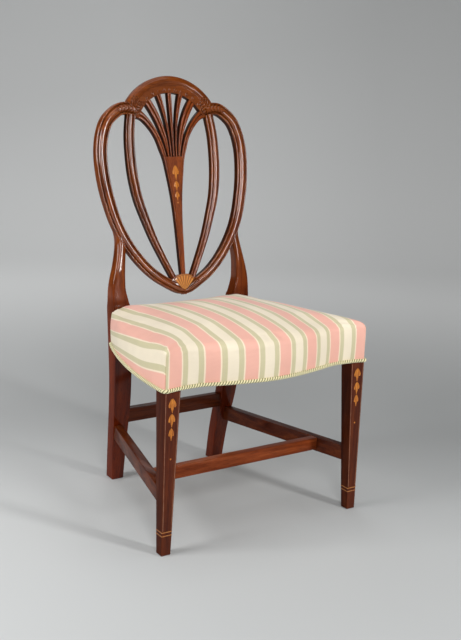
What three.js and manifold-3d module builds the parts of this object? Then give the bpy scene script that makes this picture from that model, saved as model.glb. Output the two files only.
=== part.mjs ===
// A shield back side chair, in millimetres, +Z up, front towards -Y, left at -X as seen from the front.
// Mahogany frame with satinwood inlay, H stretcher, and a serpentine seat upholstered over its rails.
import * as THREE from "three";
import { mergeVertices } from "three/addons/utils/BufferGeometryUtils.js";
import Module from "manifold-3d";

// Overall sizes
const overallHeight = 970;
const seatEdgeHeight = 452;
const frontWidth = 522;
const frontReach = 230;
const fitGap = 0.3;
const overrun = 40;

// Counts of facets along curves
const lobeSteps = 34;
const archSteps = 24;
const arcSteps = 12;
const ribSteps = 20;
const gapSteps = 8;
const railSteps = 16;
const railFrontSteps = 28;
const legFrontSteps = 6;
const coverFrontSteps = 18;
const coverSideSteps = 8;
const cordSides = 8;
const halvings = 24;

// Front legs: outer faces upright, inner faces tapered, with a cuff below the inlaid bands
const frontLegTop = 36.8;
const frontLegCuff = 24.6;
const frontLegFoot = 22;
const cuffHeight = 58;
const railInset = 6;

// Rear legs: each is one piece from the floor to the shoulder of the shield
const rearLegSetback = 367;
const rearFootRake = 51;
const rearLegOuter = 187;
const rearLegWidth = 45;
const rearLegDepth = 36;
// height, outer edge, width, setback of the front face and depth, as shares of the sizes just named
const rearLegShares = [
  [0, 0.856, 0.67, 1, 0.89],
  [0.21, 0.888, 0.82, 0.766, 0.81],
  [0.44, 0.93, 0.95, 0.359, 0.83],
  [0.62, 0.947, 0.97, 0.18, 0.9],
  [0.81, 0.973, 0.98, 0.086, 0.95],
  [1, 1, 1, 0, 1],
];
// the same above the seat: heights as shares of the way up to the post's top, the outer edge as a share
// of a reach that changes on that way from the leg's to half the shield's width
const postShares = [
  [0.1, 0.994, 0.91, 0.023, 0.9],
  [0.24, 0.98, 0.77, 0.078, 0.8],
  [0.36, 0.953, 0.7, 0.117, 0.75],
  [0.5, 0.904, 0.57, 0.156, 0.75],
  [0.66, 0.856, 0.51, 0.273, 0.7],
  [0.78, 0.833, 0.53, 0.391, 0.64],
  [0.9, 0.848, 0.58, 0.516, 0.48],
  [1, 0.874, 0.56, 0.648, 0.29],
];

// Shield: a flat frame that leans back from its foot, just clear of the seat and in front of the posts
const shieldClearance = 11;
const shieldFoot = seatEdgeHeight + shieldClearance;
const shieldLead = 7.3;
const postRise = 177;
const shieldLean = THREE.MathUtils.degToRad(11.57);
const shieldWidth = 412;
const backThickness = 20;
const beadRise = 5.5;
const mouldingWidth = 29;
const lobeEndShare = 0.8;
const lobeTaperShares = [0.35, 0.85];

// Middle line of a lobe: reach as a share of half the shield's width, height of the shield's height
const lobeShares = [
  [0.47, 0.846],
  [0.573, 0.854],
  [0.665, 0.848],
  [0.767, 0.8205],
  [0.84, 0.787],
  [0.893, 0.736],
  [0.922, 0.6805],
  [0.9306, 0.625],
  [0.922, 0.558],
  [0.9015, 0.495],
  [0.869, 0.434],
  [0.822, 0.366],
  [0.7476, 0.294],
  [0.638, 0.221],
  [0.5, 0.152],
  [0.354, 0.0986],
  [0.199, 0.0592],
  [0.08, 0.034],
  [0, 0.027],
];
const shoulderJointShare = 0.215;
const footJointShare = 0.735;

// Crest: an arch with a moulded outer edge and a plain inner band that takes the fan
const crestRadius = 140;
const crestBandWidth = 39.5;
const crestInnerRadius = 96;
const crestFootAngle = THREE.MathUtils.degToRad(56);
const crestInnerFootAngle = THREE.MathUtils.degToRad(70);

// Curved ribs between the lobes and the splat
const ribWidth = 23.5;
const ribThickness = 17;
const ribFootWidthShare = 0.6;
const ribTaperShares = [0.3, 1];
const ribShares = [
  [0.51, 0.835],
  [0.549, 0.734],
  [0.556, 0.635],
  [0.544, 0.546],
  [0.505, 0.452],
  [0.437, 0.365],
  [0.35, 0.27],
  [0.243, 0.176],
  [0.11, 0.068],
];
const ribTenonWidth = 8;
const ribTenonReach = 36;

// Splat: a taper that opens at its shoulder into a fan of seven ribs
const splatThickness = 13;
const splatShoulder = 28;
const splatShoulderShare = 0.77;
// below the shoulder: half width as a share of the shoulder's, height as a share of the shoulder's
const splatTaperShares = [
  [0.2, 0.128],
  [0.25, 0.272],
  [0.36, 0.56],
  [0.54, 0.752],
  [0.82, 0.915],
  [1, 1],
];
// above it: shares of the way out and up from the shoulder to the foot of the fan's edge
const splatFlareShares = [
  [0.126, 0.249],
  [0.266, 0.503],
  [0.483, 0.735],
  [0.778, 0.94],
  [1, 1],
];
const splatFootShare = 0.08;
const fanFootAngle = THREE.MathUtils.degToRad(68);
// gaps of the fan: place at the shoulder, angle at the crest in the fan's half angle, bend out, bend up
const fanHalfAngle = THREE.MathUtils.degToRad(66);
const fanGapShares = [
  [0.13, 0.132, 1.3, 0.53],
  [0.39, 0.415, 1, 0.56],
  [0.65, 0.753, 1.7, 0.59],
];
const fanGapFoot = 3.6;
const fanGapHead = 18.5;
const fanGapFlare = 2.4;
const fanGapSill = 5;
const fanTongue = 4;
const fanTongueThickness = 5;

// Foot of the shield: a fan-shaped block between the rails, with an inlaid fan and its border line
const footBlockRadius = 51;
const footBlockThickness = 14;
const footBlockAngle = THREE.MathUtils.degToRad(52);
const fanInlayRadius = 41;
const fanInlayAngle = THREE.MathUtils.degToRad(44);
const fanInlayRise = 9;
const fanBorderWidth = 2.2;

// Seat frame
const panelHeight = 94.5;
const railBottom = seatEdgeHeight - panelHeight;
const railHeight = 60;
const frontRailBack = 33;
const sideRailThickness = 24;
const frameRearHalfWidth = 180.5;
const rearRailThickness = 23;
const serpentine = 23;
// front edge: sideways share of half the width, swell as a share of the serpentine's depth
const serpentineShares = [
  [1, 0],
  [0.93, -0.22],
  [0.84, -0.36],
  [0.73, -0.43],
  [0.63, -0.33],
  [0.54, -0.04],
  [0.4, 0.37],
  [0.24, 0.72],
  [0.12, 0.93],
  [0, 1],
];
const blockReach = 48;
const rearBlockWidth = 32;
const blockHeight = 42;
const webWidth = 52;
const webGap = 14;
const webCount = 4;
const webThickness = 1.4;
// places of the cross webs as shares of the way from the front faces to the rear legs
const crossWebShares = [0.2, 0.45, 0.69, 0.9];
const hessianThickness = 1;
const hessianMargin = 3;

// Upholstery
const coverThickness = 1.6;
const coverSetout = 2;
const panelLap = 10;
const rearPanelSetout = 3;
const crown = 12;
const rearDrop = 7;
const edgeRound = 14;
const panelSwell = 2.5;
const cordDiameter = 6.6;

// Stretchers
const stretcherHeight = 34;
const stretcherThickness = 20;
const stretcherInset = 2.2;
const sideStretcherTop = 148;
const middleStretcherHeight = 28.5;
const middleStretcherSetback = 101;
const rearStretcherTop = 188;
const rearStretcherHeight = 34.5;
const rearStretcherThickness = 18;
const rearStretcherInset = 1.4;

// Tenons: thickness, and length beyond the shoulder
const tenonThickness = 8;
const tenonLength = 12;
const tenonShoulder = 6;

// Inlay, let into the wood to a depth and left a touch proud
const inlayDepth = 1.4;
const inlayProud = 0.1;
const legHuskWidth = 20;
const legHuskHeight = 27;
const legHuskPitch = 31;
const legHuskDrop = 15.5;
const splatHuskWidth = 16;
const splatHuskHeight = 25;
const splatHuskPitch = 30;
const splatHuskDrop = 16;
const huskCount = 3;
const huskStep = 0.84;
// half outline of a bellflower from its tip to the middle petal: sideways and upright shares of its size
const huskShares = [
  [0.1, 0.5],
  [0.26, 0.38],
  [0.42, 0.12],
  [0.5, -0.16],
  [0.34, -0.34],
  [0.2, -0.2],
  [0.1, -0.36],
];
const bandHeights = [45, 53];
const bandWidth = 2;
const lineWidth = 1.4;
const lineMargin = 2.2;
const lineTopMargin = 2;

const wasm = await Module();
wasm.setup();

const mahogany = { color: 0x7a4024, roughness: 0.34, metalness: 0 };
const rubbedMahogany = { color: 0x83482e, roughness: 0.42, metalness: 0 };
const satinwood = { color: 0xc47a2e, roughness: 0.4, metalness: 0 };
const beech = { color: 0xc9a06c, roughness: 0.7, metalness: 0 };
const jute = { color: 0xa98a5c, roughness: 0.95, metalness: 0 };
const horsehair = { color: 0x4a3c30, roughness: 1, metalness: 0 };
const silk = { color: 0xefc9b2, roughness: 0.8, metalness: 0 };
const cordYarn = { color: 0xb5ad78, roughness: 0.85, metalness: 0 };

// A closed geometry as a solid that can be joined and cut.
function solid(geometry) {
  const plain = geometry.clone();
  plain.deleteAttribute("normal");
  plain.deleteAttribute("uv");
  const merged = mergeVertices(plain, 1e-4);
  const vertProperties = merged.attributes.position.array;
  const triVerts = new Uint32Array(merged.index.array);
  return new wasm.Manifold(new wasm.Mesh({ numProp: 3, vertProperties, triVerts }));
}

// A solid as a geometry again, mirrored to the other side of the chair if side is -1.
function geometryOf(made, side = 1) {
  const mesh = made.getMesh();
  const position = new Float32Array(mesh.vertProperties);
  const index = new Uint32Array(mesh.triVerts);
  if (side < 0) {
    for (let i = 0; i < position.length; i += 3) position[i] = -position[i];
    for (let i = 0; i < index.length; i += 3) [index[i + 1], index[i + 2]] = [index[i + 2], index[i + 1]];
  }
  const geometry = new THREE.BufferGeometry();
  geometry.setAttribute("position", new THREE.BufferAttribute(position, 3));
  geometry.setIndex(new THREE.BufferAttribute(index, 1));
  geometry.computeVertexNormals();
  return geometry;
}

// A closed skin through rings of equal count; caps holds the ring's own flat outline, for its two ends.
function loft(rings, caps) {
  const count = rings[0].length;
  const position = rings.flat().flatMap((p) => [p.x, p.y, p.z]);
  const index = [];
  for (let r = 0; r + 1 < rings.length; r++) {
    for (let i = 0; i < count; i++) {
      const a = r * count + i;
      const b = r * count + ((i + 1) % count);
      index.push(a, b, b + count, a, b + count, a + count);
    }
  }
  const last = (rings.length - 1) * count;
  const turn = Math.sign(THREE.ShapeUtils.area(caps));
  for (const corners of THREE.ShapeUtils.triangulateShape(caps, [])) {
    const alike = Math.sign(THREE.ShapeUtils.area(corners.map((i) => caps[i]))) === turn;
    const [a, b, c] = alike ? corners : corners.toReversed();
    index.push(c, b, a, last + a, last + b, last + c);
  }
  const geometry = new THREE.BufferGeometry();
  geometry.setAttribute("position", new THREE.Float32BufferAttribute(position, 3));
  geometry.setIndex(index);
  const made = solid(geometry);
  return made.volume() < 0 ? solid(flipped(geometry)) : made;
}

function flipped(geometry) {
  const index = Array.from(geometry.index.array);
  for (let i = 0; i < index.length; i += 3) [index[i + 1], index[i + 2]] = [index[i + 2], index[i + 1]];
  return geometry.clone().setIndex(index);
}

function block(x0, x1, y0, y1, z0, z1) {
  const geometry = new THREE.BoxGeometry(x1 - x0, y1 - y0, z1 - z0);
  geometry.translate((x0 + x1) / 2, (y0 + y1) / 2, (z0 + z1) / 2);
  return solid(geometry);
}

// A plan outline raised from one level to another.
function slab(points, z0, z1) {
  const geometry = new THREE.ExtrudeGeometry(new THREE.Shape(points), {
    depth: z1 - z0,
    bevelEnabled: false,
  });
  geometry.translate(0, 0, z0);
  return solid(geometry);
}

const v2 = (x, y) => new THREE.Vector2(x, y);
const lerp = THREE.MathUtils.lerp;

// The mitred outward step at each corner of a closed outline.
function outwardSteps(outline) {
  const turn = Math.sign(THREE.ShapeUtils.area(outline));
  return outline.map((p, i) => {
    const before = p.clone().sub(outline[(i + outline.length - 1) % outline.length]).normalize();
    const after = outline[(i + 1) % outline.length].clone().sub(p).normalize();
    const step = v2(before.y + after.y, -before.x - after.x).normalize();
    return step.divideScalar(step.dot(v2(before.y, -before.x)) * turn);
  });
}

function grownOutline(outline, by) {
  const steps = outwardSteps(outline);
  return outline.map((p, i) => p.clone().addScaledVector(steps[i], by));
}

// Places on the chair: the front faces of the front legs, and the leaning plane of the back
const frontFace = -frontReach;
const halfWidth = frontWidth / 2;
const rearFaceY = frontFace + rearLegSetback;
const postTop = shieldFoot + postRise;
const shieldFaceY = rearFaceY - shieldLead;
const shieldHeight = (overallHeight - shieldFoot) / Math.cos(shieldLean);
const halfShield = shieldWidth / 2;
const backFrame = new THREE.Matrix4()
  .makeRotationX(-shieldLean)
  .setPosition(0, shieldFaceY, shieldFoot);
const backDepth = backThickness - beadRise;
const jointDepth = backDepth - backThickness / 3;

// Moves a geometry from the back's own plane (across, depth, height up the plane) to the chair.
function onBack(geometry) {
  geometry.applyMatrix4(backFrame);
  return solid(geometry);
}

// A flat outline on the back's plane, from one depth behind its face to another.
function backPlate(points, depth0, depth1) {
  const geometry = new THREE.ExtrudeGeometry(new THREE.Shape(points), {
    depth: depth1 - depth0,
    bevelEnabled: false,
  });
  geometry.rotateX(Math.PI / 2);
  geometry.translate(0, depth1, 0);
  return onBack(geometry);
}

// A bar on the back's plane from one place towards another, centred on a depth.
function backBar(from, to, width, thickness, depth, grow = 0) {
  const along = to.clone().sub(from);
  const geometry = new THREE.BoxGeometry(width + 2 * grow, thickness + 2 * grow, along.length() + 2 * grow);
  geometry.rotateY(Math.atan2(along.x, along.y));
  geometry.translate((from.x + to.x) / 2, depth, (from.y + to.y) / 2);
  return onBack(geometry);
}

// A level bar from one place in plan towards another, between two heights.
function levelBar(from, to, thickness, z0, z1, grow = 0) {
  const along = to.clone().sub(from);
  const geometry = new THREE.BoxGeometry(along.length() + 2 * grow, thickness + 2 * grow, z1 - z0 + 2 * grow);
  geometry.rotateZ(Math.atan2(along.y, along.x));
  geometry.translate((from.x + to.x) / 2, (from.y + to.y) / 2, (z0 + z1) / 2);
  return solid(geometry);
}

const mirrored = (made) => solid(geometryOf(made, -1));

// A spline on the back's plane from shares of half the shield's width and of its height
function shieldCurve(shares) {
  return new THREE.SplineCurve(shares.map(([x, s]) => v2(x * halfShield, s * shieldHeight)));
}

// Across a moulding from its outer edge to its inner: place as a share of the width, rise of the thickness
const mouldingShares = [
  [-0.5, 0],
  [-0.5, 0.66],
  [-0.38, 0.76],
  [-0.27, 0.7],
  [-0.16, 0.92],
  [0, 1],
  [0.16, 0.92],
  [0.27, 0.7],
  [0.38, 0.76],
  [0.5, 0.66],
  [0.5, 0],
];
const ribProfileShares = [
  [-0.5, 0],
  [-0.5, 0.62],
  [-0.3, 0.8],
  [0, 1],
  [0.3, 0.8],
  [0.5, 0.62],
  [0.5, 0],
];
const crestProfileShares = [
  [-0.5, 0],
  [-0.5, 0.66],
  [-0.43, 0.78],
  [-0.36, 0.7],
  [-0.28, 0.92],
  [-0.2, 1],
  [-0.1, 0.92],
  [-0.02, 0.72],
  [0.04, 0.6],
  [0.46, 0.6],
  [0.5, 0.54],
  [0.5, 0],
];
const cutterShares = [
  [-0.5, -2],
  [-0.5, 3],
  [0.5, 3],
  [0.5, -2],
];

// A band through stations, each the outer and the inner end of its cross-section on the back's plane.
function band(stations, profileShares, thickness, grow = 0) {
  const rings = stations.map(([outer, inner]) => {
    const across = inner.clone().sub(outer);
    const step = across.clone().normalize().multiplyScalar(grow);
    const start = outer.clone().sub(step);
    const run = across.addScaledVector(step, 2);
    return profileShares.map(([place, rise]) => {
      const at = start.clone().addScaledVector(run, place + 1 / 2);
      return new THREE.Vector3(at.x, backDepth - rise * thickness, at.y).applyMatrix4(backFrame);
    });
  });
  return loft(rings, profileShares.map(([place, rise]) => v2(place, rise)));
}

// Evenly spaced stations between two shares of a curve's length; outwards is to the left of its run
function stationsOn(curve, from, to, count, widthAt) {
  const stations = [];
  for (let i = 0; i <= count; i++) {
    const share = lerp(from, to, i / count);
    const at = curve.getPointAt(share);
    const along = curve.getTangentAt(share);
    const half = v2(-along.y, along.x).multiplyScalar(widthAt(share) / 2);
    stations.push([at.clone().add(half), at.clone().sub(half)]);
  }
  return stations;
}

// Lobes: shoulder, stile and foot rail follow one middle line, from the crest to the middle of the foot
const lobe = shieldCurve(lobeShares);
const lobeWidth = (share) => {
  return mouldingWidth * lerp(1, lobeEndShare, THREE.MathUtils.smoothstep(share, ...lobeTaperShares));
};
const halfGapShare = fitGap / 2 / lobe.getLength();

const lobeStations = (from, to) => {
  return stationsOn(lobe, from, to, Math.ceil((to - from) * lobeSteps), lobeWidth);
};
const lobeBand = (from, to) => band(lobeStations(from, to), mouldingShares, backThickness);
const lobeCutter = (from, to) => band(lobeStations(from, to), cutterShares, backThickness, fitGap);

// A tenon that crosses a joint of the lobe, rooted in the piece on the side that sign points away from
function lobeTenon(share, sign, grow) {
  const at = lobe.getPointAt(share);
  const along = lobe.getTangentAt(share).multiplyScalar(sign);
  const from = at.clone().addScaledVector(along, -tenonShoulder);
  const to = at.clone().addScaledVector(along, tenonLength);
  return backBar(from, to, lobeWidth(share) / 2, tenonThickness, jointDepth, grow);
}

// Arch of the crest: two round lines whose centres differ, so the band narrows at its feet
const archCentre = v2(0, shieldHeight - crestRadius);
const innerCentre = v2(0, shieldHeight - crestBandWidth - crestInnerRadius);
const onArc = (centre, radius, angle) => {
  return v2(centre.x + radius * Math.sin(angle), centre.y + radius * Math.cos(angle));
};
function arcPoints(centre, radius, angle, steps = arcSteps) {
  const points = [];
  for (let i = 0; i <= steps; i++) points.push(onArc(centre, radius, lerp(-angle, angle, i / steps)));
  return points;
}

function archStations(grow = 0) {
  const stations = [];
  for (let i = 0; i <= archSteps; i++) {
    const turn = lerp(-1, 1, i / archSteps);
    const outer = onArc(archCentre, crestRadius, turn * crestFootAngle);
    const inner = onArc(innerCentre, crestInnerRadius - grow, turn * crestInnerFootAngle);
    stations.push([outer, inner]);
  }
  return stations;
}

// Rear leg at a height: outer edge, width, front face and depth, from the tables of shares
const seatTopLevel = railBottom + railHeight;
const legKnee = seatTopLevel + rearLegDepth / 2;
const rearLegRows = [
  ...rearLegShares.map(([up, outer, ...rest]) => [up * legKnee, outer * rearLegOuter, ...rest]),
  ...postShares.map(([up, outer, ...rest]) => {
    return [lerp(legKnee, postTop, up), outer * lerp(rearLegOuter, halfShield, up), ...rest];
  }),
].map(([z, outer, width, setback, depth]) => ({
  z,
  outer,
  width: width * rearLegWidth,
  face: rearFaceY + setback * rearFootRake,
  depth: depth * rearLegDepth,
}));

function rearLegAt(z) {
  const above = Math.max(1, rearLegRows.findIndex((row) => row.z >= z));
  const [low, high] = [rearLegRows[above - 1], rearLegRows[above]];
  const share = (z - low.z) / (high.z - low.z);
  const at = (key) => lerp(low[key], high[key], share);
  return { outer: at("outer"), inner: at("outer") - at("width"), face: at("face"), depth: at("depth") };
}

// The leg's blank: a loft of level oblong sections; grown all round, it cuts what meets it
function rearLegBlank(grow = 0) {
  const rings = rearLegRows.map(({ z, outer, width, face, depth }) => {
    const [x0, x1, y0, y1] = [outer - width - grow, outer + grow, face - grow, face + depth + grow];
    return [
      new THREE.Vector3(x0, y0, z),
      new THREE.Vector3(x1, y0, z),
      new THREE.Vector3(x1, y1, z),
      new THREE.Vector3(x0, y1, z),
    ];
  });
  return loft(rings, [v2(0, 0), v2(1, 0), v2(1, 1), v2(0, 1)]);
}

// Front leg: the taper below the upholstery, and the smaller block inside it
const legSizeAt = (z) => {
  if (z < cuffHeight) return lerp(frontLegFoot, frontLegCuff, z / cuffHeight);
  return lerp(frontLegCuff, frontLegTop, (z - cuffHeight) / (railBottom - cuffHeight));
};

function frontLegBlank(grow = 0) {
  const rings = [0, cuffHeight, railBottom].map((z) => {
    const size = legSizeAt(z);
    const [x0, x1] = [halfWidth - size - grow, halfWidth + grow];
    const [y0, y1] = [frontFace - grow, frontFace + size + grow];
    return [
      new THREE.Vector3(x0, y0, z),
      new THREE.Vector3(x1, y0, z),
      new THREE.Vector3(x1, y1, z),
      new THREE.Vector3(x0, y1, z),
    ];
  });
  return loft(rings, [v2(0, 0), v2(1, 0), v2(1, 1), v2(0, 1)]);
}
const legInner = halfWidth - frontLegTop;
const legRear = frontFace + frontLegTop;
const blockOuter = halfWidth - railInset;
const blockFront = frontFace + railInset;

// Front edge of the seat: how far it swells at a place across
const swellCurve = new THREE.SplineCurve(serpentineShares.map(([x, swell]) => v2(x, swell)).reverse());
function frontSwell(x) {
  const share = Math.min(Math.abs(x) / halfWidth, 1);
  let [low, high] = [0, 1];
  for (let i = 0; i < halvings; i++) {
    const middle = (low + high) / 2;
    if (swellCurve.getPoint(middle).x < share) low = middle;
    else high = middle;
  }
  return serpentine * swellCurve.getPoint((low + high) / 2).y;
}

// Side of the seat frame in plan: it bows in towards the end of the side panel, which laps the post
const panelEndY = rearFaceY + panelLap;
const railOuterAt = (y) => {
  return blockOuter - (blockOuter - frameRearHalfWidth) * ((y - frontFace) / (panelEndY - frontFace)) ** 2;
};
const railInnerAt = (y) => railOuterAt(y) - sideRailThickness;

function sidePoints(lineAt, y0, y1, count) {
  const points = [];
  for (let i = 0; i <= count; i++) {
    const y = lerp(y0, y1, i / count);
    points.push(v2(lineAt(y), y));
  }
  return points;
}

function frontPoints(x0, x1, faceY, count) {
  const points = [];
  for (let i = 0; i <= count; i++) {
    const x = lerp(x0, x1, i / count);
    points.push(v2(x, faceY - frontSwell(x)));
  }
  return points;
}

const chair = new THREE.Group();
const backAssembly = new THREE.Group();
const seatFrame = new THREE.Group();
const upholstery = new THREE.Group();
const legs = new THREE.Group();
const stretchers = new THREE.Group();
const inlays = new THREE.Group();
chair.add(backAssembly, seatFrame, upholstery, legs, stretchers, inlays);

function add(group, name, made, look, side = 1) {
  const mesh = new THREE.Mesh(geometryOf(made, side), new THREE.MeshStandardMaterial(look));
  mesh.name = name;
  group.add(mesh);
}

function addPair(group, name, made, look) {
  add(group, name + "_right", made, look);
  add(group, name + "_left", made, look, -1);
}

// Stretchers: a bar between two legs, shouldered against them, with its core left standing as tenons
function stretcher(from, to, thickness, z0, z1, hosts) {
  const core = (grow) => levelBar(from, to, tenonThickness, z0 + tenonShoulder, z1 - tenonShoulder, grow);
  let bar = levelBar(from, to, thickness, z0, z1);
  for (const host of hosts) bar = bar.subtract(host);
  return { bar: bar.add(core(0)), mortise: core(fitGap) };
}

const sideMiddle = sideStretcherTop - stretcherHeight / 2;
const rearAtSide = rearLegAt(sideMiddle);
const sideFrontEnd = v2(halfWidth - stretcherInset - stretcherThickness / 2,
  frontFace + legSizeAt(sideMiddle) / 2);
const sideRearEnd = v2(rearAtSide.outer - stretcherInset - stretcherThickness / 2,
  rearAtSide.face + tenonLength);
const grownFrontLeg = frontLegBlank(fitGap);
const grownRearLeg = rearLegBlank(fitGap);
const sideStretcher = stretcher(sideFrontEnd, sideRearEnd, stretcherThickness,
  sideStretcherTop - stretcherHeight, sideStretcherTop, [grownFrontLeg, grownRearLeg]);

const middleY = frontFace + middleStretcherSetback + stretcherThickness / 2;
const middleShare = (middleY - sideFrontEnd.y) / (sideRearEnd.y - sideFrontEnd.y);
const middleX = lerp(sideFrontEnd.x, sideRearEnd.x, middleShare);
const grownSide = levelBar(sideFrontEnd, sideRearEnd, stretcherThickness,
  sideStretcherTop - stretcherHeight, sideStretcherTop, fitGap);
const middleStretcher = stretcher(v2(-middleX, middleY), v2(middleX, middleY), stretcherThickness,
  sideStretcherTop - middleStretcherHeight, sideStretcherTop, [grownSide, mirrored(grownSide)]);

const rearAtStretcher = rearLegAt(rearStretcherTop - rearStretcherHeight / 2);
const rearBarX = rearAtStretcher.inner + tenonLength;
const rearBarY = rearAtStretcher.face + rearStretcherThickness / 2 + rearStretcherInset;
const rearStretcher = stretcher(v2(-rearBarX, rearBarY), v2(rearBarX, rearBarY), rearStretcherThickness,
  rearStretcherTop - rearStretcherHeight, rearStretcherTop, [grownRearLeg, mirrored(grownRearLeg)]);

addPair(stretchers, "side_stretcher", sideStretcher.bar.subtract(middleStretcher.mortise), mahogany);
add(stretchers, "middle_stretcher", middleStretcher.bar, rubbedMahogany);
add(stretchers, "rear_stretcher", rearStretcher.bar, mahogany);

// Seat rails: the serpentine front rail, the bowed side rails and the straight rear rail
const tenonLow = railBottom + 2 * tenonShoulder;
const tenonHigh = seatTopLevel - 2 * tenonShoulder;
const frontRailInner = frontFace + frontRailBack;
const frontRailEnd = legInner - fitGap;
const frontRailOutline = [
  ...frontPoints(-frontRailEnd, frontRailEnd, blockFront, railFrontSteps),
  v2(frontRailEnd, frontRailInner),
  v2(-frontRailEnd, frontRailInner),
];
const frontTenonY = frontRailInner - tenonShoulder - tenonThickness / 2;
const frontTenon = (grow) => {
  const reach = frontRailEnd + tenonLength;
  const [from, to] = [v2(-reach, frontTenonY), v2(reach, frontTenonY)];
  return levelBar(from, to, tenonThickness, tenonLow, tenonHigh, grow);
};
const frontRail = slab(frontRailOutline, railBottom, seatTopLevel).add(frontTenon(0));

const sideRailFront = legRear + fitGap;
const sideRailEnd = rearLegAt(railBottom).face;
const sideRailOutline = [
  ...sidePoints(railOuterAt, sideRailFront, sideRailEnd, railSteps),
  ...sidePoints(railInnerAt, sideRailFront, sideRailEnd, railSteps).reverse(),
];
const sideTenonFront = v2(railInnerAt(legRear) + 2 * tenonShoulder, legRear - tenonLength);
const sideTenonRoot = v2(sideTenonFront.x, legRear + tenonLength);
const rearTenonX = railInnerAt(rearFaceY) + sideRailThickness / 2;
const rearTenonRoot = v2(rearTenonX + tenonShoulder, rearFaceY - tenonLength);
const rearTenonEnd = v2(rearTenonX, rearFaceY + tenonLength);
const sideFrontTenon = (grow) => {
  return levelBar(sideTenonFront, sideTenonRoot, tenonThickness, tenonLow, tenonHigh, grow);
};
const sideRearTenon = (grow) => {
  return levelBar(rearTenonRoot, rearTenonEnd, tenonThickness, tenonLow, tenonHigh, grow);
};
const sideRail = slab(sideRailOutline, railBottom, seatTopLevel)
  .subtract(grownRearLeg)
  .add(sideFrontTenon(0))
  .add(sideRearTenon(0));

const rearAtRail = rearLegAt(seatTopLevel);
const rearRailBack = rearAtRail.face + rearAtRail.depth;
const rearRailFront = rearRailBack - rearRailThickness;
const rearRailY = (rearRailFront + rearRailBack) / 2;
const rearRailX = rearAtRail.inner + tenonLength;
const rearRailCore = (grow) => {
  const [from, to] = [v2(-rearRailX, rearRailY), v2(rearRailX, rearRailY)];
  return levelBar(from, to, tenonThickness, tenonLow, tenonHigh, grow);
};
const rearRail = block(-rearRailX, rearRailX, rearRailFront, rearRailBack, railBottom, seatTopLevel)
  .subtract(grownRearLeg)
  .subtract(mirrored(grownRearLeg))
  .add(rearRailCore(0));

add(seatFrame, "front_seat_rail", frontRail, beech);
addPair(seatFrame, "side_seat_rail", sideRail, beech);
add(seatFrame, "rear_seat_rail", rearRail, beech);

// Corner blocks glued between the rails
const blockTop = seatTopLevel - fitGap;
const frontBlockY = frontRailInner + fitGap;
const frontBlock = slab([
  v2(frontRailEnd - blockReach, frontBlockY),
  v2(frontRailEnd, frontBlockY),
  v2(frontRailEnd, sideRailFront),
  v2(railInnerAt(sideRailFront) - fitGap, sideRailFront),
  v2(railInnerAt(frontBlockY + blockReach) - fitGap, frontBlockY + blockReach),
], blockTop - blockHeight, blockTop);
const rearAtBlock = rearLegAt(blockTop - blockHeight);
const rearBlockX = rearAtBlock.inner - fitGap;
const rearBlockY = rearLegAt(blockTop).face - fitGap;
const rearBlock = slab([
  v2(rearBlockX - rearBlockWidth, rearRailFront - fitGap),
  v2(rearBlockX, rearRailFront - fitGap),
  v2(rearBlockX, rearBlockY),
  v2(railInnerAt(rearBlockY) - fitGap, rearBlockY),
  v2(railInnerAt(rearBlockY - blockReach) - fitGap, rearBlockY - blockReach),
].reverse(), blockTop - blockHeight, blockTop);
addPair(seatFrame, "front_corner_block", frontBlock, beech);
addPair(seatFrame, "rear_corner_block", rearBlock, beech);

// Webbing: strips from front to back with strips from side to side on them, then a sheet of hessian
const webBottom = seatTopLevel + fitGap;
const webPitch = webWidth + webGap;
for (let i = 0; i < webCount; i++) {
  const x = webPitch * (i - (webCount - 1) / 2);
  const strip = block(x - webWidth / 2, x + webWidth / 2, frontRailInner - frontRailBack / 2, rearRailY,
    webBottom, webBottom + webThickness);
  add(upholstery, "long_web_" + (i + 1), strip, jute);
}
const crossBottom = webBottom + webThickness + fitGap;
crossWebShares.forEach((share, i) => {
  const y = frontFace + share * rearLegSetback;
  const reach = railOuterAt(y + webWidth / 2) - hessianMargin;
  const strip = block(-reach, reach, y - webWidth / 2, y + webWidth / 2,
    crossBottom, crossBottom + webThickness);
  add(upholstery, "cross_web_" + (i + 1), strip, jute);
});

// Plan of the seat frame, moved out by an amount
function framePlan(out) {
  const front = frontPoints(-blockOuter - out, blockOuter + out, blockFront - out, railFrontSteps);
  const right = sidePoints((y) => railOuterAt(y) + out, blockFront, rearRailBack + out, railSteps).slice(1);
  const left = right.map((p) => v2(-p.x, p.y)).reverse();
  return [...front, ...right, ...left];
}
const hessianBottom = crossBottom + webThickness + fitGap;
const hessianTop = hessianBottom + hessianThickness;
const hessian = slab(framePlan(-hessianMargin), hessianBottom, hessianTop)
  .subtract(grownRearLeg)
  .subtract(mirrored(grownRearLeg));
add(upholstery, "hessian", hessian, jute);

// Outer form of the upholstered seat, moved in by an amount: upright panels, a rounded edge, a crowned top
const coverHalf = halfWidth + coverSetout;
const coverFront = frontFace - coverSetout;
const coverSideAt = (y) => railOuterAt(y) + railInset + coverSetout;
const coverRearY = rearRailBack + rearPanelSetout;
const frontRun = frontPoints(-coverHalf, coverHalf, coverFront, coverFrontSteps);
const sideRun = sidePoints(coverSideAt, coverFront, panelEndY, coverSideSteps).slice(1);
const cornerX = coverSideAt(coverRearY);
const coverPlan = [
  ...frontRun,
  ...sideRun,
  ...[1, 0.5, 0, -0.5, -1].map((share) => v2(share * cornerX, coverRearY)),
  ...sideRun.map((p) => v2(-p.x, p.y)).reverse(),
];

const coverSteps = outwardSteps(coverPlan);
// up the panel: height as a share of the way to the rounded edge, swell as a share of the panel's swell
const panelShares = [
  [0, 0],
  [0.3, 0.8],
  [0.7, 1],
  [1, 0.3],
];
const roundAngles = [30, 60, 85].map(THREE.MathUtils.degToRad);
const crownShares = [0.82, 0.58, 0.3];

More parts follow.
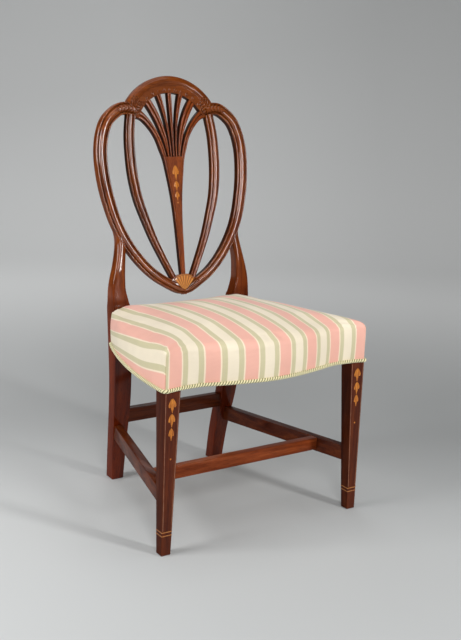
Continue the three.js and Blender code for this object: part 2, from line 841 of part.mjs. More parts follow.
function seatForm(inset, below = 0) {
  const edgeAt = (y) => seatEdgeHeight - rearDrop * ((y - coverFront) / (coverRearY - coverFront)) - inset;
  const radius = edgeRound - inset;
  const ring = (out, zAt) => {
    return coverPlan.map((p, i) => {
      const at = p.clone().addScaledVector(coverSteps[i], out - inset);
      return new THREE.Vector3(at.x, at.y, zAt(p.y));
    });
  };
  const rings = panelShares.map(([height, swell]) => {
    return ring(swell * panelSwell, (y) => lerp(railBottom, edgeAt(y) - radius, height));
  });
  if (below) rings.unshift(ring(0, () => railBottom - below));
  const outAt = (angle) => panelShares.at(-1)[1] * panelSwell - radius * (1 - Math.cos(angle));
  for (const angle of roundAngles) {
    rings.push(ring(outAt(angle), (y) => edgeAt(y) - radius * (1 - Math.sin(angle))));
  }
  const lip = rings.at(-1);
  const centre = new THREE.Vector3(0, (coverFront + coverRearY) / 2, edgeAt((coverFront + coverRearY) / 2));
  for (const share of crownShares) {
    rings.push(lip.map((p) => {
      const at = centre.clone().lerp(p, share);
      return at.setZ(edgeAt(at.y) + crown * (1 - share ** 2));
    }));
  }
  return crowned(rings, centre.setZ(centre.z + crown));
}

// A closed form through rings, flat below and brought to one point on top.
function crowned(rings, top) {
  const count = rings[0].length;
  const points = [...rings.flat(), top];
  const index = [];
  for (let r = 0; r + 1 < rings.length; r++) {
    for (let i = 0; i < count; i++) {
      const [a, b] = [r * count + i, r * count + ((i + 1) % count)];
      index.push(a, b, b + count, a, b + count, a + count);
    }
  }
  const last = (rings.length - 1) * count;
  for (let i = 0; i < count; i++) index.push(last + i, last + ((i + 1) % count), points.length - 1);
  const flat = rings[0].map((p) => v2(p.x, p.y));
  for (const [a, b, c] of THREE.ShapeUtils.triangulateShape(flat, [])) index.push(c, b, a);
  const geometry = new THREE.BufferGeometry();
  geometry.setAttribute("position", new THREE.Float32BufferAttribute(points.flatMap((p) => p.toArray()), 3));
  geometry.setIndex(index);
  return solid(geometry);
}

// The posts stand up through the seat, and the panels end beside them
const postRelief = block(rearLegAt(railBottom).inner - fitGap, coverHalf, panelEndY, coverRearY + overrun,
  railBottom - 2 * overrun, seatEdgeHeight + overrun);
const postCuts = [grownRearLeg, mirrored(grownRearLeg), postRelief, mirrored(postRelief)];
const cutForPosts = (made) => postCuts.reduce((kept, cut) => kept.subtract(cut), made);

const cover = cutForPosts(seatForm(0).subtract(seatForm(coverThickness, overrun)));
const filling = seatForm(coverThickness + fitGap);
const padLevel = hessianTop + fitGap;
const allBelow = (z) => block(-frontWidth, frontWidth, -frontWidth, frontWidth, railBottom - overrun, z);
const stuffing = cutForPosts(filling.subtract(allBelow(padLevel)));
const wadding = filling
  .subtract(slab(framePlan(fitGap), railBottom - overrun, seatEdgeHeight + overrun))
  .subtract(allBelow(railBottom + fitGap))
  .intersect(block(-frontWidth, frontWidth, -frontWidth, rearLegAt(seatTopLevel).face - fitGap,
    railBottom, padLevel - fitGap));
add(upholstery, "stuffing", stuffing, horsehair);
add(upholstery, "edge_wadding", wadding, horsehair);
add(upholstery, "seat_cover", cover, silk);

// Twisted trim cord along the lower edge of the side and front panels
const cordRadius = cordDiameter / 2;
function trimCord() {
  const steps = coverPlan.map((p, i) => ({ p, step: coverSteps[i] }));
  const path = [...steps.slice(-sideRun.length), ...steps.slice(0, frontRun.length + sideRun.length)];
  const rings = path.map(({ p, step }) => {
    const ring = [];
    for (let i = 0; i < cordSides; i++) {
      const angle = (2 * Math.PI * i) / cordSides;
      const out = cordRadius * (1 + Math.cos(angle)) + fitGap;
      const at = p.clone().addScaledVector(step, out);
      ring.push(new THREE.Vector3(at.x, at.y, railBottom + cordRadius * (1 + Math.sin(angle))));
    }
    return ring;
  });
  const caps = [];
  for (let i = 0; i < cordSides; i++) {
    const angle = (2 * Math.PI * i) / cordSides;
    caps.push(v2(Math.cos(angle), Math.sin(angle)));
  }
  return loft(rings, caps);
}
add(upholstery, "trim_cord", trimCord(), cordYarn);

// Bellflower inlay: one outline, let into legs and splat in three sizes, each below the last
function huskOutline({ width, height, x, z }) {
  const half = huskShares.map(([across, up]) => v2(across * width, up * height));
  const outline = [...half, v2(0, -height / 2), ...half.map((p) => v2(-p.x, p.y)).reverse()];
  return outline.map((p) => v2(p.x + x, p.y + z));
}

function huskRow(width, height, pitch, top) {
  const husks = [];
  let z = top;
  for (let i = 0; i < huskCount; i++) {
    const scale = huskStep ** i;
    husks.push({ width: width * scale, height: height * scale ** (1 / 4), z: z - height / 2 });
    z -= pitch * scale ** (1 / 4);
  }
  return husks;
}

// A flat outline on the front face of a front leg, as an inlay or, grown, as the pocket that takes it.
function frontInlay(outline, grow) {
  const geometry = new THREE.ExtrudeGeometry(new THREE.Shape(grownOutline(outline, grow)), {
    depth: grow ? inlayDepth + overrun : inlayDepth - fitGap + inlayProud,
    bevelEnabled: false,
  });
  geometry.rotateX(Math.PI / 2);
  geometry.translate(0, grow ? frontFace + inlayDepth : frontFace + inlayDepth - fitGap, 0);
  return solid(geometry);
}

// The same on the back's plane, let into a face at a depth.
function backInlay(outline, face, grow) {
  if (grow) return backPlate(grownOutline(outline, grow), face - overrun, face + inlayDepth);
  return backPlate(outline, face - inlayProud, face + inlayDepth - fitGap);
}

const legHusks = huskRow(legHuskWidth, legHuskHeight, legHuskPitch, railBottom - legHuskDrop).map((husk) => {
  const placed = { ...husk, x: halfWidth - legSizeAt(husk.z) / 2 };
  return (grow) => frontInlay(huskOutline(placed), grow);
});

// Line inlay down both edges of the leg's front face
const lineBottom = bandHeights[1] + 2 * bandWidth;
const lineTop = railBottom - lineTopMargin;
const edgeLine = (middleAt) => (grow) => {
  const place = (z, side) => v2(middleAt(z) + (side * lineWidth) / 2, z);
  const outline = [place(lineBottom, -1), place(lineBottom, 1), place(lineTop, 1), place(lineTop, -1)];
  return frontInlay(outline, grow);
};
const outerLine = edgeLine(() => halfWidth - lineMargin);
const innerLine = edgeLine((z) => halfWidth - legSizeAt(z) + lineMargin);

// Line inlay round the foot: a square ring in a groove on all four faces
function footBand(z, grow) {
  const deep = inlayDepth + (grow ? 0 : -fitGap);
  const proud = grow ? overrun : inlayProud;
  const ring = (out) => {
    return [z - bandWidth / 2 - grow, z + bandWidth / 2 + grow].map((level) => {
      const size = legSizeAt(level);
      const [x0, x1] = [halfWidth - size - out, halfWidth + out];
      const [y0, y1] = [frontFace - out, frontFace + size + out];
      return [
        new THREE.Vector3(x0, y0, level),
        new THREE.Vector3(x1, y0, level),
        new THREE.Vector3(x1, y1, level),
        new THREE.Vector3(x0, y1, level),
      ];
    });
  };
  const caps = [v2(0, 0), v2(1, 0), v2(1, 1), v2(0, 1)];
  const core = ring(-deep);
  const [low, high] = [core[0], core[1]].map((points, i) => {
    return points.map((p) => p.clone().setZ(p.z + (i ? overrun : -overrun)));
  });
  return loft(ring(proud), caps).subtract(loft([low, high], caps));
}

const legBlockOutline = [
  ...frontPoints(legInner, blockOuter, blockFront, legFrontSteps),
  ...sidePoints(railOuterAt, blockFront, legRear, 2).slice(1),
  v2(legInner, legRear),
];
let frontLeg = frontLegBlank()
  .add(slab(legBlockOutline, railBottom, seatTopLevel))
  .subtract(frontTenon(fitGap))
  .subtract(sideFrontTenon(fitGap))
  .subtract(sideStretcher.mortise);
for (const husk of legHusks) frontLeg = frontLeg.subtract(husk(fitGap));
for (const line of [outerLine, innerLine]) frontLeg = frontLeg.subtract(line(fitGap));
for (const z of bandHeights) frontLeg = frontLeg.subtract(footBand(z, fitGap));
addPair(legs, "front_leg", frontLeg, mahogany);
legHusks.forEach((husk, i) => addPair(inlays, "leg_bellflower_" + (i + 1), husk(0), satinwood));
addPair(inlays, "leg_outer_line", outerLine(0), satinwood);
addPair(inlays, "leg_inner_line", innerLine(0), satinwood);
bandHeights.forEach((z, i) => addPair(inlays, "foot_band_" + (i + 1), footBand(z, 0), satinwood));

// Stiles: each rear leg runs on as the side of the shield, up to the joint with the crest's shoulder
const stile = rearLegBlank()
  .add(lobeBand(shoulderJointShare + halfGapShare, footJointShare - halfGapShare))
  .add(lobeTenon(shoulderJointShare, -1, 0))
  .subtract(lobeTenon(footJointShare, -1, fitGap))
  .subtract(sideRearTenon(fitGap))
  .subtract(rearRailCore(fitGap))
  .subtract(sideStretcher.mortise)
  .subtract(rearStretcher.mortise);
addPair(backAssembly, "rear_leg_and_stile", stile, mahogany);

// Ribs: their ends run into the crest and the foot, and are cut back to shoulders with tenons
const rib = shieldCurve(ribShares);
const ribWidthAt = (share) => {
  return ribWidth * lerp(1, ribFootWidthShare, THREE.MathUtils.smoothstep(share, ...ribTaperShares));
};
const ribTenon = (end, grow) => {
  const root = rib.getPointAt(Math.abs(end - ribTenonReach / rib.getLength()));
  return backBar(root, rib.getPointAt(end), ribTenonWidth, tenonThickness, jointDepth, grow);
};

const footBlock = [v2(0, 2 * tenonShoulder), ...arcPoints(v2(0, 0), footBlockRadius, footBlockAngle)];
const footFace = backDepth - footBlockThickness;
const shoulderCutter = lobeCutter(0, shoulderJointShare);
const footCutter = lobeCutter(footJointShare, 1);
const archCutter = band(archStations(), cutterShares, backThickness, fitGap);
const footBlockCutter = backPlate(grownOutline(footBlock, fitGap), -overrun, overrun);
const shieldCutters = [
  archCutter, shoulderCutter, mirrored(shoulderCutter), footCutter, mirrored(footCutter), footBlockCutter,
];
const cutForShield = (made) => shieldCutters.reduce((kept, cut) => kept.subtract(cut), made);

const ribBlank = band(stationsOn(rib, 0, 1, ribSteps, ribWidthAt), ribProfileShares, ribThickness);
const ribPiece = cutForShield(ribBlank)
  .add(ribTenon(0, 0))
  .add(ribTenon(1, 0));
addPair(backAssembly, "curved_rib", ribPiece, mahogany);

// Splat and fan: one board, sawn with six gaps, its fan held by a tongue in the crest
const fanFoot = onArc(innerCentre, crestInnerRadius + fanTongue, fanFootAngle);
const shoulderCorner = v2(splatShoulder, splatShoulderShare * fanFoot.y);
const flare = fanFoot.clone().sub(shoulderCorner);
const splatSide = [
  ...splatTaperShares.map(([x, s]) => v2(x, s).multiply(shoulderCorner)),
  ...splatFlareShares.map(([x, s]) => v2(x, s).multiply(flare).add(shoulderCorner)),
];
const splatEdge = new THREE.SplineCurve(splatSide).getPoints(ribSteps);
const fanHead = arcPoints(innerCentre, crestInnerRadius + 2 * fanTongue, -fanHalfAngle, archSteps);
const splatFoot = v2(splatSide[0].x, splatFootShare * shoulderCorner.y);
const splatOutline = [
  splatFoot,
  ...splatEdge,
  ...fanHead,
  ...splatEdge.map((p) => v2(-p.x, p.y)).reverse(),
  v2(-splatFoot.x, splatFoot.y),
];

// A gap of the fan: a strip that widens along a bent line from the shoulder to beyond the crest's edge
function fanGap([place, turn, bendOut, bendUp], side) {
  const foot = v2(place * shoulderCorner.x, shoulderCorner.y + fanGapSill);
  const head = onArc(innerCentre, crestInnerRadius, turn * fanHalfAngle);
  const bend = v2(foot.x * bendOut, lerp(foot.y, head.y, bendUp));
  const line = new THREE.QuadraticBezierCurve(foot, bend, head);
  const [right, left] = [[], []];
  for (let i = 0; i <= gapSteps + 1; i++) {
    const share = Math.min(i / gapSteps, 1);
    const along = line.getTangent(share);
    const at = line.getPoint(share);
    if (i > gapSteps) at.addScaledVector(along, 2 * fanTongue);
    const half = lerp(fanGapFoot, fanGapHead, share ** fanGapFlare) / 2;
    right.push(v2((at.x + along.y * half) * side, at.y - along.x * half));
    left.push(v2((at.x - along.y * half) * side, at.y + along.x * half));
  }
  return backPlate([...right, ...left.reverse()], -overrun, overrun);
}

const tongueOutline = [
  ...arcPoints(innerCentre, crestInnerRadius + fanTongue, fanHalfAngle, archSteps),
  ...arcPoints(innerCentre, crestInnerRadius - fanTongue, fanHalfAngle, archSteps).reverse(),
];
const tongue = (grow) => {
  const half = fanTongueThickness / 2 + grow;
  return backPlate(grownOutline(tongueOutline, grow), jointDepth - half, jointDepth + half);
};
const splatTenon = (grow) => {
  const [root, end] = [v2(0, footBlockRadius + tenonLength), v2(0, footBlockRadius - tenonLength)];
  return backBar(root, end, splatFoot.x, tenonThickness, jointDepth, grow);
};
let splat = cutForShield(backPlate(splatOutline, backDepth - splatThickness, backDepth)).add(tongue(0));
for (const gap of fanGapShares) splat = splat.subtract(fanGap(gap, 1)).subtract(fanGap(gap, -1));
splat = splat.add(splatTenon(0));

const splatHuskTop = shoulderCorner.y - splatHuskDrop;
const splatHusks = huskRow(splatHuskWidth, splatHuskHeight, splatHuskPitch, splatHuskTop).map((husk) => {
  const placed = { ...husk, x: 0 };
  return (grow) => backInlay(huskOutline(placed), backDepth - splatThickness, grow);
});
for (const husk of splatHusks) splat = splat.subtract(husk(fitGap));
add(backAssembly, "splat", splat, mahogany);
splatHusks.forEach((husk, i) => add(inlays, "splat_bellflower_" + (i + 1), husk(0), satinwood));

// Foot rail of the shield with its inlaid fan and border line
const inlayCentre = v2(0, fanInlayRise);
const fanInlayOutline = [
  inlayCentre,
  ...arcPoints(inlayCentre, fanInlayRadius - fanBorderWidth - 3 * fitGap, fanInlayAngle),
];
const fanBorderOutline = [
  ...arcPoints(inlayCentre, fanInlayRadius, fanInlayAngle),
  ...arcPoints(inlayCentre, fanInlayRadius - fanBorderWidth, fanInlayAngle).reverse(),
];
const fanInlay = (grow) => backInlay(fanInlayOutline, footFace, grow);
const fanBorder = (grow) => backInlay(fanBorderOutline, footFace, grow);
const halfFoot = lobeBand(footJointShare + halfGapShare, 1).add(lobeTenon(footJointShare, -1, 0));
const footFlat = backPlate(footBlock, footFace - overrun, footFace);
const footRail = halfFoot
  .add(mirrored(halfFoot))
  .add(backPlate(footBlock, footFace, backDepth))
  .subtract(footFlat)
  .subtract(ribTenon(1, fitGap))
  .subtract(mirrored(ribTenon(1, fitGap)))
  .subtract(splatTenon(fitGap))
  .subtract(fanInlay(fitGap))
  .subtract(fanBorder(fitGap));
add(backAssembly, "shield_foot_rail", footRail, mahogany);
add(inlays, "foot_fan_inlay", fanInlay(0), satinwood);
add(inlays, "foot_fan_border", fanBorder(0), satinwood);

// Crest rail: the arch with both shoulders in one piece
const shoulder = lobeBand(0, shoulderJointShare - halfGapShare);
const crest = band(archStations(), crestProfileShares, backThickness)
  .add(shoulder)
  .add(mirrored(shoulder))
  .subtract(lobeTenon(shoulderJointShare, -1, fitGap))
  .subtract(mirrored(lobeTenon(shoulderJointShare, -1, fitGap)))
  .subtract(ribTenon(0, fitGap))
  .subtract(mirrored(ribTenon(0, fitGap)))
  .subtract(tongue(fitGap));
add(backAssembly, "crest_rail", crest, mahogany);

// The origin lies on the floor under the middle of the whole chair
const bounds = new THREE.Box3().setFromObject(chair);
chair.position.y = -(bounds.min.y + bounds.max.y) / 2;

export default chair;
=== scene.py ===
import math
import bmesh
import bpy
import numpy as np
from mathutils import Matrix, Vector


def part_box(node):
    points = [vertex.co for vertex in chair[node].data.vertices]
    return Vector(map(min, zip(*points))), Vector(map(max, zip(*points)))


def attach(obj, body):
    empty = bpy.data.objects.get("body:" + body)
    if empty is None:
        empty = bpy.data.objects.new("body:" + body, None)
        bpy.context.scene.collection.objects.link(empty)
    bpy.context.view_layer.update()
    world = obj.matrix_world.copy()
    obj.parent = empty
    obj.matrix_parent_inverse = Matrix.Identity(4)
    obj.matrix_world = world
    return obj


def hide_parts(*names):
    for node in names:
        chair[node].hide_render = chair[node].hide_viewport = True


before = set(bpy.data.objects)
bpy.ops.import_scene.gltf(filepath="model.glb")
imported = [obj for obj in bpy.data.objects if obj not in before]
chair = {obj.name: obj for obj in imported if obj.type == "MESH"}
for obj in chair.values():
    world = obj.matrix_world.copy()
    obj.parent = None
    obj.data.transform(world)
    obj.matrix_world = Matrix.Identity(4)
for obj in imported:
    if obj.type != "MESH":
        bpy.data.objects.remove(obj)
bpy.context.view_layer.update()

scene = bpy.context.scene
scene.view_settings.view_transform = "Standard"


# Viewpoint
# The chair is seen from in front and from its left, at about the height of its crest.
# The lens is a portrait lens, so upright lines stay nearly upright.
camera_place = Vector((-1.29333, -1.98187, 1.01762))
heading, downward, roll = (math.radians(angle) for angle in (-33.937, 13.869, 2.193))
lens_mm = 83.018

backwards = Vector((math.sin(heading) * math.cos(downward), -math.cos(heading) * math.cos(downward),
                    math.sin(downward)))
level = Vector((math.cos(heading), math.sin(heading), 0))
upwards = backwards.cross(level)
camera_right = level * math.cos(roll) + upwards * math.sin(roll)
camera_up = upwards * math.cos(roll) - level * math.sin(roll)
bpy.ops.object.camera_add()
camera = bpy.context.object
camera.name = "Camera"
camera.matrix_world = Matrix.Translation(camera_place) @ Matrix(
    (camera_right, camera_up, backwards)).transposed().to_4x4()
camera.data.sensor_fit = "HORIZONTAL"
camera.data.sensor_width = 36
camera.data.lens = lens_mm
scene.camera = camera


# Studio floor, backdrop and light
# A matt grey paper sweep: it lies flat under the chair and curves up behind it.
# Soft boxes light the chair from its left, from in front, from above and, dimly, from behind, and
# a strip lights it from its right.
floor_side = 9.0
sweep_height = 4.5
sweep_round = 1.6
# the paper's two tones are a painted pool of light, lighter on the left
paper_painted_lit_left = "#D1D3D3"
paper_painted_shaded_right = "#B6B8B8"
wall_glow = 0.19


def linear(colour):
    """An sRGB hex colour as linear light, with an alpha of one."""
    shares = [int(colour[i:i + 2], 16) / 255 for i in (1, 3, 5)]
    return tuple(s / 12.92 if s <= 0.04045 else ((s + 0.055) / 1.055) ** 2.4 for s in shares) + (1.0,)


def add_node(tree, kind, inputs=None, **settings):
    """Adds a shader node; an input is given as a value, or as the output that feeds it."""
    node = tree.nodes.new("ShaderNode" + kind)
    for key, value in settings.items():
        setattr(node, key, value)
    for key, value in (inputs or {}).items():
        if isinstance(value, bpy.types.NodeSocket):
            tree.links.new(value, node.inputs[key])
        else:
            node.inputs[key].default_value = value
    return node


def new_finish(name):
    """An empty material with its node tree."""
    finish = bpy.data.materials.new(name)
    finish.use_nodes = True
    finish.node_tree.nodes.clear()
    return finish, finish.node_tree


def deselect():
    """Nothing stays selected, and no piece stays in edit mode."""
    if bpy.context.object and bpy.context.object.mode != "OBJECT":
        bpy.ops.object.mode_set(mode="OBJECT")
    bpy.ops.object.select_all(action="DESELECT")


def pick_edges(wanted):
    """In edit mode, selects only the edges whose middle passes the test."""
    bpy.ops.mesh.select_mode(type="EDGE")
    bpy.ops.mesh.select_all(action="DESELECT")
    edited = bmesh.from_edit_mesh(bpy.context.object.data)
    for edge in edited.edges:
        edge.select = wanted((edge.verts[0].co + edge.verts[1].co) / 2)
    bmesh.update_edit_mesh(bpy.context.object.data)


deselect()
bpy.ops.mesh.primitive_plane_add(size=floor_side)
floor = bpy.context.object
floor.name = "studio_floor"
bpy.ops.object.mode_set(mode="EDIT")
pick_edges(lambda middle: middle.y > 0.49 * floor_side)
bpy.ops.mesh.extrude_region_move(TRANSFORM_OT_translate={"value": (0, 0, sweep_height)})
pick_edges(lambda middle: middle.y > 0.49 * floor_side and middle.z < 0.01)
bpy.ops.mesh.bevel(offset=sweep_round, segments=24)
bpy.ops.object.mode_set(mode="OBJECT")
bpy.ops.object.shade_smooth()
floor.rotation_euler.z = heading
bpy.ops.object.transform_apply(rotation=True)

# matt paper, painted lighter on the left than on the right, as a painted pool of light, and a fifth darker
# in a band some 0.6 m behind the chair, as painted shade; its far parts glow with painted light, more on the
# left, to the camera and in gloss, but light nothing
paper, tree = new_finish("matt_paper_sweep")
place = add_node(tree, "TexCoord").outputs["Object"]
sideways = add_node(tree, "VectorMath", {0: place, 1: level}, operation="DOT_PRODUCT")
shading = add_node(tree, "MapRange", {"Value": sideways.outputs["Value"], "From Min": -0.7, "From Max": 0.9})
tone = add_node(tree, "MixRGB", {"Fac": shading.outputs[0], "Color1": linear(paper_painted_lit_left),
                                 "Color2": linear(paper_painted_shaded_right)})
behind = add_node(tree, "VectorMath", {0: place, 1: -backwards}, operation="DOT_PRODUCT")
reach = add_node(tree, "MapRange", {"Value": behind.outputs["Value"], "From Min": -0.5, "From Max": 2.5})
# painted shade: the paper is a fifth darker in this band
band = add_node(tree, "ValToRGB", {"Fac": reach.outputs[0]})
band.color_ramp.interpolation = "EASE"
for element, position in zip(band.color_ramp.elements, (0.15, 0.95)):
    element.position, element.color = position, (1.0, 1.0, 1.0, 1.0)
band.color_ramp.elements.new(0.36).color = (0.79, 0.79, 0.79, 1.0)
tone = add_node(tree, "MixRGB", {"Fac": 1.0, "Color1": tone.outputs[0], "Color2": band.outputs[0]},
                blend_type="MULTIPLY")
rays = add_node(tree, "LightPath")
seen = add_node(tree, "Math", {0: rays.outputs["Is Camera Ray"], 1: rays.outputs["Is Glossy Ray"]},
                operation="MAXIMUM")
flat = add_node(tree, "Mapping", {"Vector": place, "Scale": (1, 1, 0)})
distance = add_node(tree, "VectorMath", {0: flat.outputs[0]}, operation="LENGTH")
lift = add_node(tree, "MapRange", {"Value": distance.outputs["Value"], "From Min": 0.8, "From Max": 2.6,
                                   "To Min": 0.0, "To Max": wall_glow}, interpolation_type="SMOOTHSTEP")
leaning = add_node(tree, "MapRange", {"Value": sideways.outputs["Value"], "From Min": -1.4, "From Max": 1.4,
                                      "To Min": 1.05, "To Max": 0.95})
height = add_node(tree, "SeparateXYZ", {"Vector": place}).outputs["Z"]
fading = add_node(tree, "MapRange", {"Value": height, "From Min": 0.2, "From Max": 1.4, "To Min": 1.0,
                                     "To Max": 0.7})
lift = add_node(tree, "Math", {0: lift.outputs[0], 1: leaning.outputs[0]}, operation="MULTIPLY")
lift = add_node(tree, "Math", {0: lift.outputs[0], 1: fading.outputs[0]}, operation="MULTIPLY")
glow = add_node(tree, "Math", {0: seen.outputs[0], 1: lift.outputs[0]}, operation="MULTIPLY")
surface = add_node(tree, "BsdfPrincipled", {
    "Base Color": tone.outputs[0], "Roughness": 0.95, "Specular IOR Level": 0.1,
    "Emission Color": linear("#FFFFFE"), "Emission Strength": glow.outputs[0]})
add_node(tree, "OutputMaterial", {"Surface": surface.outputs[0]})
floor.data.materials.append(paper)


def soft_box(name, place, aim, width, height, power):
    """A lamp behind a rectangle of white cloth, turned to what it lights; its power is in watts."""
    deselect()
    bpy.ops.object.light_add(type="AREA", location=place)
    lamp = bpy.context.object
    lamp.name = name
    lamp.data.shape = "RECTANGLE"
    lamp.data.size = width
    lamp.data.size_y = height
    lamp.data.energy = power
    lamp.rotation_euler = (Vector(place) - Vector(aim)).to_track_quat("Z", "Y").to_euler()


soft_box("soft_box_left", (-2.6, 0.25, 1.6), (0.0, 0.0, 0.5), 1.2, 1.5, 49)
soft_box("soft_box_front", (-1.4, -2.8, 1.9), (0.0, 0.0, 0.5), 0.9, 1.3, 34)
soft_box("soft_box_above", (0.1, -0.3, 3.2), (0.0, 0.1, 0.4), 2.2, 2.2, 25)
soft_box("strip_right", (0.85, -2.27, 1.25), (0.0, 0.1, 0.7), 0.24, 1.5, 31)
soft_box("soft_box_behind", (1.0, 3.0, 2.6), (0.0, 0.0, 0.5), 2.2, 1.4, 15)

world = bpy.data.worlds.new("studio_air")
scene.world = world
world.use_nodes = True
world.node_tree.nodes.clear()
rays = add_node(world.node_tree, "LightPath")
strength = add_node(world.node_tree, "MapRange", {"Value": rays.outputs["Is Glossy Ray"], "To Min": 0.18,
                                                  "To Max": 0.05})
air = add_node(world.node_tree, "Background", {"Color": linear("#C8C9CA"), "Strength": strength.outputs[0]})
add_node(world.node_tree, "OutputWorld", {"Surface": air.outputs[0]})


# Shield: stiles with the rear legs
# Each rear leg, post and side of the shield is sawn from one mahogany board, from floor to shoulder.
# The shield's side carries a run moulding: a broad bead between two small ones, with quirks between.
overall_height = 970
seat_edge_height = 452
front_reach = 230
front_width = 522
seat_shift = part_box("front_leg_left")[0].y * 1000 + front_reach

shield_foot = 463
shield_lean = math.radians(11.57)
shield_width = 412
shield_face = 129.7
shield_height = (overall_height - shield_foot) / math.cos(shield_lean)
back_thickness = 20
bead_rise = 5.5
back_depth = back_thickness - bead_rise
moulding_width = 29
lobe_shares = [
    (0.47, 0.846), (0.573, 0.854), (0.665, 0.848), (0.767, 0.8205), (0.84, 0.787), (0.893, 0.736),
    (0.922, 0.6805), (0.9306, 0.625), (0.922, 0.558), (0.9015, 0.495), (0.869, 0.434), (0.822, 0.366),
    (0.7476, 0.294), (0.638, 0.221), (0.5, 0.152), (0.354, 0.0986), (0.199, 0.0592), (0.08, 0.034),
    (0.0, 0.027)]
# joints of the shield's sides, as shares of the length of a side
shoulder_joint_share = 0.215
foot_joint_share = 0.735
joint_gap = 0.15

rear_face = 137
rear_leg_outer = 187
rear_leg_width = 45
rear_leg_depth = 36
rear_foot_rake = 51
leg_knee = 435.5
post_top = 640
# height, outer edge, width, setback of the front face, depth: as shares of the sizes above
rear_leg_shares = [
    (0, 0.856, 0.67, 1, 0.89), (0.21, 0.888, 0.82, 0.766, 0.81), (0.44, 0.93, 0.95, 0.359, 0.83),
    (0.62, 0.947, 0.97, 0.18, 0.9), (0.81, 0.973, 0.98, 0.086, 0.95), (1, 1, 1, 0, 1)]
post_shares = [
    (0.1, 0.994, 0.91, 0.023, 0.9), (0.24, 0.98, 0.77, 0.078, 0.8), (0.36, 0.953, 0.7, 0.117, 0.75),
    (0.5, 0.904, 0.57, 0.156, 0.75), (0.66, 0.856, 0.51, 0.273, 0.7), (0.78, 0.833, 0.53, 0.391, 0.64),
    (0.9, 0.848, 0.58, 0.516, 0.48), (1, 0.874, 0.56, 0.648, 0.29)]
arris = 1.2
post_round_share = 0.42
post_rear_round_share = 0.2
rounding_from = 440
rounding_to = 600
spline_steps = 60
corner_steps = 5


def spline(points, steps=spline_steps):
    """Points of a smooth curve that passes through the given ones."""
    p = np.array(points, float)
    p = np.vstack([p[:1], p, p[-1:]])
    t = np.linspace(0, 1, steps, endpoint=False)[:, None]
    spans = []
    for a, b, c, d in zip(p, p[1:], p[2:], p[3:]):
        v, w = (c - a) / 2, (d - b) / 2
        spans.append((2 * b - 2 * c + v + w) * t ** 3 + (3 * c - 3 * b - 2 * v - w) * t ** 2 + v * t + b)
    return np.vstack(spans + [p[-1:]])


def along(curve, shares):
    """Places and directions at shares of a curve's length."""
    lengths = np.concatenate([[0], np.cumsum(np.linalg.norm(np.diff(curve, axis=0), axis=1))])
    wanted = np.asarray(shares) * lengths[-1]
    places = np.stack([np.interp(wanted, lengths, column) for column in curve.T], axis=-1)
    slopes = np.gradient(curve, lengths, axis=0)
    ways = np.stack([np.interp(wanted, lengths, column) for column in slopes.T], axis=-1)
    return places, ways / np.linalg.norm(ways, axis=-1, keepdims=True)


def length_of(curve):
    """A curve's length from its first point to its last."""
    return np.linalg.norm(np.diff(curve, axis=0), axis=1).sum()


def smooth(x, low, high):
    """Rises from 0 at low to 1 at high, and is level at both ends."""
    t = np.clip((np.asarray(x, float) - low) / (high - low), 0, 1)
    return t * t * (3 - 2 * t)


def on_back(across, depth, height):
    """From the shield's leaning plane to the chair: across, behind its face, and up the plane."""
    across, depth, height = np.broadcast_arrays(across, depth, height)
    y = shield_face + depth * math.cos(shield_lean) + height * math.sin(shield_lean)
    z = shield_foot - depth * math.sin(shield_lean) + height * math.cos(shield_lean)
    return np.stack([across, y, z], axis=-1)


def skin(name, rings, side=1, dulled_and_shaded=None):
    """A closed skin on rings of millimetre points: a grid laid on them, joined and filled at its ends.
    The last argument, from 0 to 1, is how much each point's polish is dulled, and above 0.3 how much its
    wood is darkened as painted shade."""
    rings = np.array(rings, float)
    rings[..., 0] *= side
    rings[..., 1] += seat_shift
    along_count, around_count = rings.shape[:2]
    deselect()
    bpy.ops.mesh.primitive_grid_add(x_subdivisions=around_count, y_subdivisions=along_count - 1)
    piece = bpy.context.object
    piece.name = piece.data.name = name
    laid = np.concatenate([rings, rings[:, :1]], axis=1) / 1000
    piece.data.vertices.foreach_set("co", laid.ravel())
    if dulled_and_shaded is not None:
        held = np.broadcast_to(dulled_and_shaded, rings.shape[:2])
        held = np.concatenate([held, held[:, :1]], axis=1).astype(np.float32)
        piece.data.attributes.new("dull_polish_and_painted_shade", "FLOAT", "POINT").data.foreach_set("value", held.ravel())
    bpy.ops.object.mode_set(mode="EDIT")
    bpy.ops.mesh.select_all(action="SELECT")
    bpy.ops.mesh.remove_doubles(threshold=1e-6)
    bpy.ops.mesh.fill_holes(sides=0)
    bpy.ops.mesh.select_all(action="SELECT")
    bpy.ops.mesh.normals_make_consistent(inside=False)
    bpy.ops.object.mode_set(mode="OBJECT")
    bpy.ops.object.shade_smooth_by_angle(angle=math.radians(38))
    return piece


def join(name, pieces):
    """Makes one piece of several."""
    deselect()
    for piece in pieces:
        piece.select_set(True)
    bpy.context.view_layer.objects.active = pieces[0]
    bpy.ops.object.join()
    pieces[0].name = pieces[0].data.name = name
    return pieces[0]


def settle(piece, finish, slot, *nodes):
    """Gives a wooden piece its finish and its place in the chair, where it stands for CAD nodes."""
    piece.data.materials.clear()
    piece.data.materials.append(finish)
    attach(piece, "root")
    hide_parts(*nodes)


